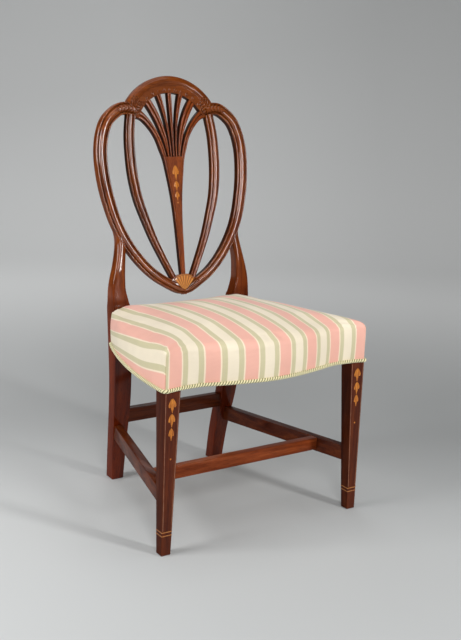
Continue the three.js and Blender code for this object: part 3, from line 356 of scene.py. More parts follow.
def mahogany(name, grain_axis, dark="#54240F", middle="#763B1C", light="#8E4D26", gloss=0.9, shine=1.55,
             shade_below_seat=0.0):
    """Mahogany under French polish: fine dark pores and broad ribbon figure along the grain, and a thin
    glossy coat, which a point attribute dulls; above 0.3 that attribute also paints shade, nearly black,
    into the hollows, quirks and sawn sides. Pores are 0.3 mm wide in the wood and drawn about 1 mm, so
    that they show. Shine is the polish's IOR. The last argument is how much redder and darker the wood is
    painted below the seat, as painted shade, and how much duller its polish is there."""
    finish, tree = new_finish(name)
    place = add_node(tree, "TexCoord").outputs["Object"]
    stretch = [1.0, 1.0, 1.0]
    stretch[grain_axis] = 0.06
    run = add_node(tree, "Mapping", {"Vector": place, "Scale": stretch}).outputs[0]
    ribbon = add_node(tree, "TexNoise", {"Vector": run, "Scale": 62.0, "Detail": 5.0, "Roughness": 0.62,
                                         "Distortion": 0.7})
    pores = add_node(tree, "TexNoise", {"Vector": run, "Scale": 640.0, "Detail": 2.0, "Roughness": 0.5})
    clouds = add_node(tree, "TexNoise", {"Vector": place, "Scale": 9.0, "Detail": 2.0})
    tones = add_node(tree, "ValToRGB", {"Fac": ribbon.outputs["Fac"]})
    tones.color_ramp.elements[0].position = 0.3
    tones.color_ramp.elements[0].color = linear(dark)
    tones.color_ramp.elements[1].position = 0.72
    tones.color_ramp.elements[1].color = linear(light)
    tones.color_ramp.elements.new(0.5).color = linear(middle)
    shade = add_node(tree, "MapRange", {"Value": clouds.outputs["Fac"], "From Min": 0.3, "From Max": 0.7,
                                        "To Min": 0.86, "To Max": 1.12})
    cloudy = add_node(tree, "HueSaturation", {"Color": tones.outputs[0], "Saturation": 1.05,
                                              "Value": shade.outputs[0]})
    pitted = add_node(tree, "MapRange", {"Value": pores.outputs["Fac"], "From Min": 0.36, "From Max": 0.47})
    grained = add_node(tree, "MixRGB", {"Fac": pitted.outputs[0], "Color1": linear("#2A0F08"),
                                        "Color2": cloudy.outputs[0]})
    tone = add_node(tree, "MixRGB", {"Fac": 0.4, "Color1": cloudy.outputs[0], "Color2": grained.outputs[0]})
    dull_polish_and_painted_shade = add_node(tree, "Attribute", attribute_name="dull_polish_and_painted_shade")
    coat = add_node(tree, "MapRange", {"Value": dull_polish_and_painted_shade.outputs["Fac"], "From Max": 0.5, "To Min": gloss,
                                       "To Max": 0.05 * gloss})
    # below the seat the wood is painted redder and darker, as painted shade, fading out by 0.56 m high, and
    # its polish is duller there
    if shade_below_seat:
        height = add_node(tree, "SeparateXYZ", {"Vector": place}).outputs["Z"]
        below = add_node(tree, "MapRange", {"Value": height, "From Min": 0.36, "From Max": 0.56,
                                            "To Min": shade_below_seat, "To Max": 0.0}, interpolation_type="SMOOTHSTEP")
        tone = add_node(tree, "MixRGB", {"Fac": below.outputs[0], "Color1": tone.outputs[0],
                                         "Color2": linear("#D0866A")}, blend_type="MULTIPLY")
        dulled = add_node(tree, "Math", {0: below.outputs[0], 1: -0.9, 2: 1.0}, operation="MULTIPLY_ADD")
        coat = add_node(tree, "Math", {0: coat.outputs[0], 1: dulled.outputs[0]}, operation="MULTIPLY")
    # above 0.3 the attribute paints shade, nearly black, over the wood
    painted_shade_share = add_node(tree, "MapRange", {"Value": dull_polish_and_painted_shade.outputs["Fac"], "From Min": 0.3, "To Max": 0.88})
    tone = add_node(tree, "MixRGB", {"Fac": painted_shade_share.outputs[0], "Color1": tone.outputs[0],
                                     "Color2": linear("#1C0A05")})
    wear = add_node(tree, "MapRange", {"Value": ribbon.outputs["Fac"], "From Min": 0.3, "From Max": 0.7,
                                       "To Min": 0.46, "To Max": 0.38})
    bump = add_node(tree, "Bump", {"Height": pores.outputs["Fac"], "Strength": 0.1, "Distance": 0.0004})
    surface = add_node(tree, "BsdfPrincipled", {
        "Base Color": tone.outputs[0], "Roughness": wear.outputs[0], "Normal": bump.outputs[0],
        "Specular IOR Level": 0.06, "Coat Weight": coat.outputs[0], "Coat Roughness": 0.12,
        "Coat IOR": shine})
    add_node(tree, "OutputMaterial", {"Surface": surface.outputs[0]})
    return finish


# the rear legs and posts are painted redder and darker below about 0.5 m, as painted shade under the seat
upright_mahogany = mahogany("mahogany_upright_french_polished", 2, shine=1.8, shade_below_seat=0.8)


def beads(*rows, per=12):
    """Across a moulding, from its outer to its inner edge: places as shares of its width and rises as
    shares of its thickness. A row is one bead: from, to, height of its foot, height of its crown."""
    profile = [(-0.47, 0.0), (-0.5, 0.0), (-0.5, rows[0][2] - 0.02)]
    for low, high, base, top in rows:
        for t in np.linspace(-1, 1, per):
            profile.append(((low + high) / 2 + t * (high - low) / 2,
                            base + (top - base) * max(0.0, 1 - abs(t) ** 2.5) ** 0.55))
    return np.array(profile + [(0.5, rows[-1][2] - 0.02), (0.5, 0.0), (0.47, 0.0)])


def dulling_and_shade_of(profile, outer_side=1.0, quirks=0.5):
    """How much each point of a moulding is dulled and shaded: some in its quirks, most on its inner sawn
    side.
    Up to 0.3 it only dulls the polish, and above that it also darkens the wood as painted shade."""
    held = quirks * (1 - smooth(profile[:, 1], 0.6, 0.68))
    held[:3], held[-3:] = (0, outer_side, outer_side), (1, 0.8, 0)
    return held


def banded(outer, inner, profile, thickness, carve=None):
    """Rings across a band whose stations have an outer and an inner end on the back's plane."""
    places = profile[:, 0] + 0.5
    at = outer[:, None, :] + (inner - outer)[:, None, :] * places[None, :, None]
    rise = np.repeat(profile[None, :, 1] * thickness, len(outer), axis=0)
    if carve is not None:
        rise = rise + carve
    return on_back(at[..., 0], back_depth - rise, at[..., 1])


lobe = spline(np.array(lobe_shares) * (shield_width / 2, shield_height))
lobe_length = length_of(lobe)
joint_gap_share = joint_gap / lobe_length
lobe_bead_shares = [(-0.5, -0.33, 0.6, 0.78), (-0.29, 0.29, 0.6, 1.0), (0.33, 0.5, 0.6, 0.78)]
lobe_profile = beads(*lobe_bead_shares)


def stations(curve, shares, width_at):
    """Outer and inner ends of the sections of a band whose middle line is the curve."""
    places, ways = along(curve, shares)
    half = np.stack([-ways[:, 1], ways[:, 0]], axis=-1) * width_at(np.asarray(shares))[:, None] / 2
    return places + half, places - half


def lobe_width(shares):
    """The moulding's width at shares of its length: it gets narrower towards the foot."""
    return moulding_width * (1 - 0.2 * smooth(shares, 0.35, 0.85))


def oblong(x0, x1, y0, y1, z, radii, per=corner_steps):
    """A level ring with rounded corners, from the front left corner round; radii in the same order."""
    ring = []
    corners = [(x0, y0, 180), (x1, y0, 270), (x1, y1, 0), (x0, y1, 90)]
    for (x, y, start), radius in zip(corners, radii):
        cx = x + radius if x == x0 else x - radius
        cy = y + radius if y == y0 else y - radius
        for step in range(per + 1):
            turn = math.radians(start + 90 * step / per)
            ring.append((cx + radius * math.cos(turn), cy + radius * math.sin(turn), z))
    return ring


def rear_leg_rows():
    """The leg's sections from floor to shield: height, outer edge, width, front face and depth."""
    rows = [(up * leg_knee, outer * rear_leg_outer, width, setback, depth)
            for up, outer, width, setback, depth in rear_leg_shares]
    for up, outer, width, setback, depth in post_shares:
        reach = rear_leg_outer + (shield_width / 2 - rear_leg_outer) * up
        rows.append((leg_knee + (post_top - leg_knee) * up, outer * reach, width, setback, depth))
    scale = (1, 1, rear_leg_width, rear_foot_rake, rear_leg_depth)
    return np.array(rows) * scale + (0, 0, 0, rear_face, 0)


leg_rows = rear_leg_rows()


def rear_leg_rings(grow=0.0, steps=9, rounded=True):
    """Rings of a rear leg and its post: square up to the seat, then more and more rounded."""
    rings = []
    for z, outer, width, face, depth in spline(leg_rows, steps):
        share = float(smooth(z, rounding_from, rounding_to)) if rounded else 0.0
        front = arris + (post_round_share * width - arris) * share
        rear = arris + (post_rear_round_share * width - arris) * share
        rings.append(oblong(outer - width - grow, outer + grow, face - grow, face + depth + grow, z,
                            (front, front, min(rear, depth / 3), min(rear, depth / 3))))
    if rounded:
        foot = np.array(rings[0])
        middle = foot.mean(axis=0)
        rings[0] = (foot + (0, 0, arris)).tolist()
        rings.insert(0, (middle + (foot - middle) * (0.93, 0.93, 1)).tolist())
    return rings


# the sides and rears of square legs have a duller polish than their fronts, and on the front legs they are
# also painted darker, as painted shade
oblong_turns = np.radians(np.concatenate([np.linspace(start, start + 90, corner_steps + 1)
                                          for start in (180, 270, 0, 90)]))
dull_shaded_sides = 0.5 * (1 - smooth(-np.sin(oblong_turns), 0.5, 1))

for side, hand in ((1, "right"), (-1, "left")):
    shares = np.linspace(shoulder_joint_share + joint_gap_share, foot_joint_share - joint_gap_share, 190)
    moulding = banded(*stations(lobe, shares, lobe_width), lobe_profile, back_thickness)
    post = np.array(rear_leg_rings())
    up = post[:, :1, 2]
    # the post's polish is dulled above the seat, and where the post meets the seat it is also painted
    # darker, as a painted shadow
    seat_shadow_and_dulling = 0.22 + 0.3 * (1 - smooth(up, 455, 480)) * smooth(up, 400, 430)
    post_dulling_and_shade = np.maximum(seat_shadow_and_dulling * (up > 400), 0.6 * dull_shaded_sides)
    stile = join("rear_leg_and_stile_moulded_" + hand,
                 [skin("stile", moulding, side, dulling_and_shade_of(lobe_profile, 0.45)),
                  skin("post", post, side, post_dulling_and_shade)])
    settle(stile, upright_mahogany, "mahogany", "rear_leg_and_stile_" + hand)


# Shield: crest rail
# One board holds the arch and both shoulders. The arch has a moulded outer edge and a sunk inner
# band with a row of small carved caps; leaves are carved where the shoulders leave the arch.
crest_radius = 140
crest_band_width = 39.5
crest_inner_radius = 96
arch_centre = np.array((0, shield_height - crest_radius))
inner_centre = np.array((0, shield_height - crest_band_width - crest_inner_radius))
arch_foot = math.radians(56)
inner_foot = math.radians(70)
fan_half_angle = math.radians(66)
cap_turns = [0, 8.7, 18, 27.4, 38.5, 49.7, 59]
cap_rise = 3.2
cap_radius = 104
cap_half_width = 3.9
cap_place_share = 0.31
cap_reach_share = 0.125
leaf_rise = 2.3

across_mahogany = mahogany("mahogany_crosswise_french_polished", 0, dark="#592810", middle="#7C401F",
                           light="#90532B", shine=1.8)


def on_arc(centre, radius, turns):
    """Places on an arc; a turn is measured from straight up."""
    turns = np.asarray(turns, float)
    return np.stack([centre[0] + radius * np.sin(turns), centre[1] + radius * np.cos(turns)], axis=-1)


def leaf(lengthwise, across, lobes=5):
    """Relief of a carved leaf, from 0 to 1: lengthwise runs from root to tip, across from edge to edge."""
    a = np.clip(lengthwise, 0, 1)
    notch = 0.78 + 0.22 * np.abs(np.sin(math.pi * lobes * a))
    half = np.sin(math.pi * np.clip(0.12 + 0.88 * a, 0, 1)) ** 0.55 * notch
    inside = smooth(half - np.abs(across), 0.0, 0.16)
    veins = 0.62 + 0.38 * np.cos(2 * math.pi * (lobes * a - 1.5 * np.abs(across)))
    midrib = np.exp(-(across / 0.12) ** 2)
    shown = (lengthwise > 0) & (lengthwise < 1)
    return np.where(shown, inside * np.maximum(veins, midrib), 0)


shoulder_profile = beads(*lobe_bead_shares, per=18)
carved_end_share = 0.085
shares = np.concatenate([np.linspace(0, carved_end_share, 90, endpoint=False),
                         np.linspace(carved_end_share, shoulder_joint_share - joint_gap_share, 60)])
run = shares[:, None] / carved_end_share
leaves = leaf_rise * leaf(1.05 * run - 0.08, shoulder_profile[None, :, 0] / 0.52)
leaves[:, [0, 1, 2, -3, -2, -1]] = 0
shoulder_rings = banded(*stations(lobe, shares, lobe_width), shoulder_profile, back_thickness, leaves)

# across the arch, from its outer edge: a quarter round, a broad low bead, and the sunk band
quarter_round = [(-0.5 + 0.13 * t, 0.62 + 0.2 * math.sin(math.pi / 2 * t)) for t in np.linspace(0, 1, 8)]
broad_bead = [(-0.37 + 0.33 * t, 0.82 + 0.13 * math.sin(math.pi * t) ** 0.7 - 0.04 * t)
              for t in np.linspace(0, 1, 26)]
sunk_band = [(-0.03, 0.75), (-0.02, 0.73)] + [(place, 0.72) for place in np.linspace(0.0, 0.47, 34)]
arch_profile = np.array([(-0.47, 0.0), (-0.5, 0.0), (-0.5, 0.6)] + quarter_round + broad_bead + sunk_band
                        + [(0.495, 0.68), (0.5, 0.6), (0.5, 0.0), (0.47, 0.0)])
turns = np.linspace(-1, 1, 330)
arch_outer = on_arc(arch_centre, crest_radius, turns * arch_foot)
arch_inner = on_arc(inner_centre, crest_inner_radius, turns * inner_foot * (1 - 0.05 * np.abs(turns) ** 9))
place = arch_profile[None, :, 0]
cap_relief = np.zeros((len(turns), len(arch_profile)))
for turn in sorted({sign * cap for cap in cap_turns for sign in (-1, 1)}):
    sideways = (turns[:, None] * math.degrees(inner_foot) - turn) * math.radians(1) * cap_radius
    reach = (place - cap_place_share) / cap_reach_share
    dome = np.sqrt(np.clip(1 - (sideways / cap_half_width) ** 2 - reach ** 2, 0, 1))
    cap_relief = np.maximum(cap_relief, cap_rise * dome)
foot_run = (1 - np.abs(turns[:, None])) / 0.27
arch_leaves = leaf_rise * leaf(1.05 * foot_run - 0.04, (place - 0.02) / 0.44, lobes=4)
relief = np.maximum(cap_relief, arch_leaves)
relief[:, [0, 1, 2, -3, -2, -1]] = 0
arch_rings = banded(arch_outer, arch_inner, arch_profile, back_thickness, relief)
# the crest's sawn sides, its quirks and the low parts round its carved leaves are painted darker, as painted
# shade; the polish is dulled over the arch and near the carving, and the arch face is also a little darker
arch_dulling_and_shade = np.maximum(dulling_and_shade_of(arch_profile, 0.5, 0.3), 0.37 * (arch_profile[:, 1] > 0))
arch_dulling_and_shade = arch_dulling_and_shade + 0.5 * (arch_leaves > 0) * smooth(1.4 - arch_leaves, 0, 1)
shoulder_dulling_and_shade = np.maximum(dulling_and_shade_of(shoulder_profile, 0.45), 0.25 * (1 - smooth(run, 1.2, 2.4)))
shoulder_dulling_and_shade = shoulder_dulling_and_shade + 0.5 * (leaves > 0) * smooth(1.4 - leaves, 0, 1)
crest = join("crest_rail_carved", [skin("arch", arch_rings, 1, np.minimum(arch_dulling_and_shade, 1)),
                                   skin("shoulder", shoulder_rings, 1, np.minimum(shoulder_dulling_and_shade, 1)),
                                   skin("shoulder", shoulder_rings, -1, np.minimum(shoulder_dulling_and_shade, 1))])
settle(crest, across_mahogany, "mahogany", "crest_rail")


# Shield: foot rail
# The two sides of the shield meet at the bottom in one short piece. A flat fan-shaped block on its
# face holds the splat and the curved ribs, and carries the inlaid fan.
foot_block_radius = 51
foot_block_thickness = 14
foot_block_turn = math.radians(52)
foot_block_point = 12
foot_lap = 6
cutter_depth = 30

shares = np.linspace(foot_joint_share + joint_gap_share, 1, 110)
lap = foot_lap * along(lobe, [1.0])[1]
half_foot = banded(*(np.vstack([ends, ends[-1:] + lap]) for ends in stations(lobe, shares, lobe_width)),
                   lobe_profile, back_thickness)
block_turns = np.linspace(-foot_block_turn, foot_block_turn, 40)
block_plan = np.vstack([[(0, foot_block_point)], on_arc((0, 0), foot_block_radius, block_turns)])


def plate(name, outline, face, rear, edge=0.8, lay=on_back, side=1, dulled_and_shaded=None):
    """A flat plate between two depths, laid on the back's plane or another, its front arris rounded."""
    middle = outline.mean(axis=0)
    size = np.abs(outline - middle).max()
    rings = [lay(outline[:, 0], rear, outline[:, 1])]
    for step in range(4):
        turn = math.pi / 2 * step / 3
        shrunk = middle + (outline - middle) * (1 - edge * (1 - math.cos(turn)) / size)
        rings.append(lay(shrunk[:, 0], face + edge * (1 - math.sin(turn)), shrunk[:, 1]))
    return skin(name, rings, side, dulled_and_shaded)


def cut(piece, cutter):
    """Takes one shape out of a piece."""
    deselect()
    bpy.context.view_layer.objects.active = piece
    piece.select_set(True)
    tool = piece.modifiers.new("cut", "BOOLEAN")
    tool.operation = "DIFFERENCE"
    tool.object = cutter
    tool.solver = "EXACT"
    bpy.ops.object.modifier_apply(modifier=tool.name)
    bpy.data.objects.remove(cutter)


foot_face = back_depth - foot_block_thickness
halves = [skin("foot", half_foot, side, dulling_and_shade_of(lobe_profile, 0.45)) for side in (1, -1)]
for half in halves:
    cut(half, plate("flat", block_plan, foot_face - cutter_depth, foot_face, edge=0.01))
foot_rail = join("shield_foot_rail_moulded", halves + [plate("block", block_plan, foot_face, back_depth)])
settle(foot_rail, across_mahogany, "mahogany", "shield_foot_rail")


# Shield: curved ribs
# A slender moulded rib bows out on each side between the shoulder and the foot.
# Its section is one broad bead with a small bead along its inner edge.
rib_width = 23.5
rib_thickness = 17
rib_shares = [(0.51, 0.835), (0.549, 0.734), (0.556, 0.635), (0.544, 0.546), (0.505, 0.452),
              (0.437, 0.365), (0.35, 0.27), (0.243, 0.176), (0.11, 0.068)]
rib_profile = beads((-0.5, -0.36, 0.58, 0.76), (-0.32, 0.24, 0.58, 1.0), (0.28, 0.5, 0.58, 0.8))
rib = spline(np.array(rib_shares) * (shield_width / 2, shield_height))


def rib_width_at(shares):
    """A curved rib's width at shares of its length: it gets narrower towards the foot."""
    return rib_width * (1 - 0.4 * smooth(shares, 0.3, 1))


for side, hand in ((1, "right"), (-1, "left")):
    rings = banded(*stations(rib, np.linspace(0.012, 0.985, 200), rib_width_at), rib_profile, rib_thickness)
    piece = skin("curved_rib_moulded_" + hand, rings, side, dulling_and_shade_of(rib_profile))
    settle(piece, upright_mahogany, "mahogany", "curved_rib_" + hand)


# Shield: splat with its fan
# One thin board tapers up from the foot with a small bead along both edges, and is sawn above its
# shoulder into seven ribs, each worked into two reeds, which spread to the crest.
splat_thickness = 13
splat_shoulder = 28
fan_foot = on_arc(inner_centre, crest_inner_radius + 4, math.radians(68))
shoulder_up = 0.77 * fan_foot[1]
splat_taper_shares = [(0.2, 0.128), (0.25, 0.272), (0.36, 0.56), (0.54, 0.752), (0.82, 0.915), (1, 1)]
splat_flare_shares = [(0.126, 0.249), (0.266, 0.503), (0.483, 0.735), (0.778, 0.94), (1, 1)]
# each gap of the fan: its foot as a share of the shoulder, its head as a share of the fan's half
# angle, and its bend outwards and upwards as shares of its foot's place and of its height
fan_gap_shares = [(0.13, 0.132, 1.3, 0.53), (0.39, 0.415, 1, 0.56), (0.65, 0.753, 1.7, 0.59)]
gap_foot = 3.6
gap_head = 18.5
gap_sill = 5
splat_bead = 2.6
splat_field_sunk = 0.35
splat_body_foot = 40
reed_rise = 2.4

corner = np.array((splat_shoulder, shoulder_up))
taper = np.array(splat_taper_shares) * corner
flare = np.array(splat_flare_shares) * (fan_foot - corner) + corner
splat_edge = spline(np.vstack([taper, flare]))
flare_edge = splat_edge[spline_steps * (len(taper) - 1):]


def splat_section(height, half):
    """Across the board at a height: a bead at both edges and a flat field between them."""
    bead = min(splat_bead, half / 3)
    edge = [(-half + bead * (1 - math.cos(t)) / 2, 0.75 * bead * math.sin(t))
            for t in np.linspace(0, math.pi, 9)]
    face = back_depth - splat_thickness
    left = [(x, face + 0.75 * bead - rise) for x, rise in edge]
    field = -half + bead + splat_field_sunk
    left += [(field, face + splat_field_sunk),
             (field + 0.3 * (half - bead - splat_field_sunk), face + splat_field_sunk)]
    left = [(-0.9 * half, back_depth), (-half, back_depth)] + left
    points = np.array(left + [(-x, depth) for x, depth in left[::-1]])
    return on_back(points[:, 0], points[:, 1], height)


heights = np.linspace(splat_body_foot, shoulder_up + gap_sill, 90)
half_widths = np.interp(heights, splat_edge[:, 1], splat_edge[:, 0])
body = [splat_section(height, half) for height, half in zip(heights, half_widths)]
body_top = body[-1].copy()
body.append(on_back(body_top[:, 0] * 0.97, 0, 0) * (1, 0, 0) + body_top * (0, 1, 1)
            + on_back(0, 2.0, 1.2) - on_back(0, 0, 0))
# the splat's sawn sides and the edges of its sunk field are painted darker, as painted shade
body_dulling_and_shade = np.zeros(len(body_top))
body_dulling_and_shade[[1, 2, -3, -2]] = 1.0
body_dulling_and_shade[[11, -12]] = 0.7


def gap_lines(gap, steps=40, beyond=7.0):
    """The inner and the outer edge of one gap of the fan, from the sill to beyond the crest's edge."""
    place, turn, bend_out, bend_up = gap
    foot = np.array((place * splat_shoulder, shoulder_up + gap_sill))
    head = on_arc(inner_centre, crest_inner_radius, turn * fan_half_angle)
    bend = np.array((foot[0] * bend_out, foot[1] + (head[1] - foot[1]) * bend_up))
    t = np.linspace(0, 1, steps)[:, None]
    line = (1 - t) ** 2 * foot + 2 * t * (1 - t) * bend + t ** 2 * head
    way = 2 * (1 - t) * (bend - foot) + 2 * t * (head - bend)
    way /= np.linalg.norm(way, axis=1, keepdims=True)
    half = (gap_foot + (gap_head - gap_foot) * t ** 2.4) / 2
    outward = np.stack([way[:, 1], -way[:, 0]], axis=-1) * half
    inner, outer = line - outward, line + outward
    sunk = line[:1] - way[:1] * 6
    inner = np.vstack([sunk - outward[:1], inner, inner[-1:] + way[-1:] * beyond])
    outer = np.vstack([sunk + outward[:1], outer, outer[-1:] + way[-1:] * beyond])
    return inner, outer


two_reeds = [(middle + 0.25 * t, 0.8 + math.sqrt(1 - t * t)) for middle in (-0.25, 0.25)
             for t in np.linspace(-1, 1, 10)]
reed_profile = np.array([(-0.4, 0.0), (-0.5, 0.0), (-0.5, 0.79)] + two_reeds
                        + [(0.5, 0.79), (0.5, 0.0), (0.4, 0.0)])


def reeded(edge_a, edge_b):
    """Rings of one rib of the fan between its two edges, worked into two reeds."""
    places = reed_profile[:, 0] + 0.5
    at = edge_a[:, None, :] + (edge_b - edge_a)[:, None, :] * places[None, :, None]
    width = np.linalg.norm(edge_b - edge_a, axis=1)[:, None]
    wall = np.minimum(reed_profile[None, :, 1], 0.8) * splat_thickness
    reed = np.clip(reed_profile[None, :, 1] - 0.8, 0, 1) * np.minimum(reed_rise, 0.36 * width)
    return on_back(at[..., 0], back_depth - wall - reed, at[..., 1])


edges = [gap_lines(gap) for gap in fan_gap_shares]
mirror = np.array((-1, 1))
outside = along(flare_edge, np.linspace(0, 1, 40))[0]
outside = np.vstack([corner - (0.3, 3), outside, outside[-1:] + (2.5, 3.5)])
ribs = [reeded(edges[0][0] * mirror, edges[0][0])]
ribs += [reeded(edges[i][1], edges[i + 1][0]) for i in range(2)]
ribs.append(reeded(edges[2][1], outside))
# each fan rib's sawn sides and the groove between its reeds are painted darker, as painted shade; its crowns
# only have a duller polish
reed_dulling_and_shade = np.array([0, 1, 1, 1, 0.75, 0.45] + [0.25] * 4 + [0.3, 0.6, 0.9])
reed_dulling_and_shade = np.concatenate([reed_dulling_and_shade, reed_dulling_and_shade[::-1]])
pieces = [skin("splat_body", body, 1, body_dulling_and_shade), skin("fan_rib", ribs[0], 1, reed_dulling_and_shade)]
for rings in ribs[1:]:
    pieces += [skin("fan_rib", rings, side, reed_dulling_and_shade) for side in (1, -1)]
splat = join("splat_with_reeded_fan", pieces)
splat_mahogany = mahogany("mahogany_splat_french_polished", 2, dark="#5E2913", middle="#803F20",
                          light="#984F29", shine=1.65)
settle(splat, splat_mahogany, "mahogany", "splat")


# Inlay of the back
# Satinwood bellflowers hang down the splat, and a fan of satinwood rays lies in the shield's foot.
# Each ray is scorched along one edge in hot sand, which shades it and makes it look folded.
fan_rays = 7
fan_inlay_rise = 9
fan_inlay_turn = 44
inlay_proud = 0.12
inlay_sunk = 0.5
dot_radius = 1.9
# half outlines of a bellflower's petals from its tip: sideways and downward shares of its size
middle_petal_shares = [(0.0, 0.02), (0.1, 0.13), (0.16, 0.28), (0.185, 0.45), (0.185, 0.6), (0.15, 0.73),
                       (0.08, 0.86), (0.05, 1.0)]
side_petal_shares = [(0.03, 0.0), (0.15, 0.08), (0.29, 0.19), (0.4, 0.31), (0.475, 0.43), (0.485, 0.53),
                     (0.44, 0.61), (0.35, 0.64), (0.235, 0.62), (0.225, 0.45), (0.19, 0.27), (0.1, 0.1)]
# tip, foot and width of each flower up the splat, and the dot below them
splat_flowers = [(309, 274, 17.5), (272, 249, 14.5), (247, 225, 11.5)]
splat_dot = 220


def satinwood(name, grain_axis, light="#CE7F2A", dark="#A65A1A"):
    """Satinwood: a pale golden wood with a silky, streaky grain, under the same polish."""
    finish, tree = new_finish(name)
    place = add_node(tree, "TexCoord").outputs["Object"]
    stretch = [1.0, 1.0, 1.0]
    stretch[grain_axis] = 0.2
    run = add_node(tree, "Mapping", {"Vector": place, "Scale": stretch}).outputs[0]
    streaks = add_node(tree, "TexNoise", {"Vector": run, "Scale": 420.0, "Detail": 3.0})
    tones = add_node(tree, "ValToRGB", {"Fac": streaks.outputs["Fac"]})
    tones.color_ramp.elements[0].position = 0.32
    tones.color_ramp.elements[0].color = linear(dark)
    tones.color_ramp.elements[1].position = 0.62
    tones.color_ramp.elements[1].color = linear(light)
    surface = add_node(tree, "BsdfPrincipled", {
        "Base Color": tones.outputs[0], "Roughness": 0.4, "Specular IOR Level": 0.1, "Coat Weight": 0.6,
        "Coat Roughness": 0.14})
    add_node(tree, "OutputMaterial", {"Surface": surface.outputs[0]})
    return finish


def sand_shaded_fan(name):
    """Satinwood rays round a point, each dark along one edge and about 13 degrees wide."""
    finish, tree = new_finish(name)
    centre = on_back(0, back_depth - foot_block_thickness, fan_inlay_rise)[()] + (0, seat_shift, 0)
    place = add_node(tree, "TexCoord").outputs["Object"]
    laid = add_node(tree, "Mapping", {"Vector": place, "Location": centre / 1000,
                                      "Rotation": (-shield_lean, 0, 0)}, vector_type="TEXTURE")
    parts = add_node(tree, "SeparateXYZ", {"Vector": laid.outputs[0]})
    turn = add_node(tree, "Math", {0: parts.outputs["X"], 1: parts.outputs["Z"]}, operation="ARCTAN2")
    pitch = 2 * math.radians(fan_inlay_turn) / fan_rays
    counted = add_node(tree, "Math", {0: turn.outputs[0], 1: 1 / pitch, 2: 0.5}, operation="MULTIPLY_ADD")
    share = add_node(tree, "Math", {0: counted.outputs[0]}, operation="FRACT")
    tones = add_node(tree, "ValToRGB", {"Fac": share.outputs[0]})
    tones.color_ramp.elements[0].position = 0.0
    tones.color_ramp.elements[0].color = linear("#35150A")
    tones.color_ramp.elements[1].position = 1.0
    tones.color_ramp.elements[1].color = linear("#D9974A")
    tones.color_ramp.elements.new(0.14).color = linear("#8A4A1C")
    tones.color_ramp.elements.new(0.6).color = linear("#C67E34")
    surface = add_node(tree, "BsdfPrincipled", {
        "Base Color": tones.outputs[0], "Roughness": 0.4, "Specular IOR Level": 0.1, "Coat Weight": 0.6,
        "Coat Roughness": 0.14})
    add_node(tree, "OutputMaterial", {"Surface": surface.outputs[0]})
    return finish


upright_satinwood = satinwood("satinwood_upright_polished", 2)
pale_stringing = satinwood("boxwood_stringing_polished", 2, light="#B87A40", dark="#96592C")


def refinish(finish, *names):
    """Gives CAD nodes whose shape is right their real finish."""
    for name in names:
        for held in chair[name].material_slots:
            held.material = finish


def petals(name, flower, centre, face, lay, side=1, dot=None):
    """A bellflower of three thin petals on a flat face, with the dot that ends a row below it."""
    tip, foot, width = flower
    mirrored = [(-sideways, down) for sideways, down in middle_petal_shares[:0:-1]]
    middle = np.array(middle_petal_shares + mirrored)
    one = np.array(side_petal_shares)
    pieces = []
    for outline in (middle, one, one * (-1, 1)):
        laid = np.column_stack([centre + outline[:, 0] * width, tip - outline[:, 1] * (tip - foot)])
        pieces.append(plate("petal", laid, face - inlay_proud, face + inlay_sunk, 0.05, lay, side))
    if dot is not None:
        ring = on_arc((centre, dot), dot_radius, np.radians(np.arange(0, 360, 24)))
        pieces.append(plate("dot", ring, face - inlay_proud, face + inlay_sunk, 0.05, lay, side))
    return join(name, pieces)


splat_field = back_depth - splat_thickness + splat_field_sunk
for number, flower in enumerate(splat_flowers, 1):
    piece = petals("splat_bellflower_%d_petals" % number, flower, 0, splat_field, on_back,
                   dot=splat_dot if number == 3 else None)
    settle(piece, upright_satinwood, "satinwood_inlay", "splat_bellflower_%d" % number)
refinish(sand_shaded_fan("satinwood_rays_sand_shaded"), "foot_fan_inlay")
refinish(pale_stringing, "foot_fan_border")


# Front legs
# Square mahogany legs: their outer faces are upright and their inner faces taper down to a small
# cuff below two inlaid bands. Bellflowers hang down the front face between two lines.
half_width = front_width / 2
front_leg_top = 36.8
front_leg_cuff = 24.6
front_leg_foot = 22
cuff_height = 58
rail_bottom = 357.5
rail_top = 417.5
block_side_setback = 6.5
block_front_setback = 15.5
leg_arris = 0.8

# tip, foot and width of each flower down the leg, and the dot below them
leg_flowers = [(345, 314, 18.8), (312.5, 283.5, 16.4), (282, 254, 13)]
leg_dot = 214
tip_to_middle = 15

# the front legs' mahogany is a darker copy, painted darker as shade under the seat
leg_mahogany_painted_darker = mahogany("mahogany_leg_shaded_french_polished", 2, dark="#3A150C", middle="#532414", light="#66321C",
                        gloss=0.3, shine=1.5)
leg_stringing = satinwood("boxwood_stringing_darkened", 2, light="#96664C", dark="#774834")


def leg_size(z):
    """How wide and deep a front leg is at a height."""
    sizes = (front_leg_foot, front_leg_cuff, front_leg_top)
    return float(np.interp(z, (0, cuff_height, rail_bottom), sizes))


def front_leg_rings():
    """Rings of a front leg from its foot to its block, which stands back under the cover."""
    rings = []
    for z, draw in ((0, 1.0), (1.0, 0), (cuff_height, 0), (rail_bottom, 0)):
        size = leg_size(z)
        rings.append(oblong(half_width - size + draw, half_width - draw, -front_reach + draw,
                            -front_reach + size - draw, z, [leg_arris] * 4))
    inside = (half_width - front_leg_top, half_width - block_side_setback,
              -front_reach + block_front_setback, -front_reach + front_leg_top)
    rings.append(oblong(*inside, rail_bottom, [leg_arris] * 4))
    rings.append(oblong(*inside, rail_top, [leg_arris] * 4))
    return rings


def on_leg(across, depth, height):
    """On the upright front face of a front leg: across the chair, behind the face, and up."""
    across, depth, height = np.broadcast_arrays(across, depth, height)
    return np.stack([across, -front_reach + depth, height], axis=-1)


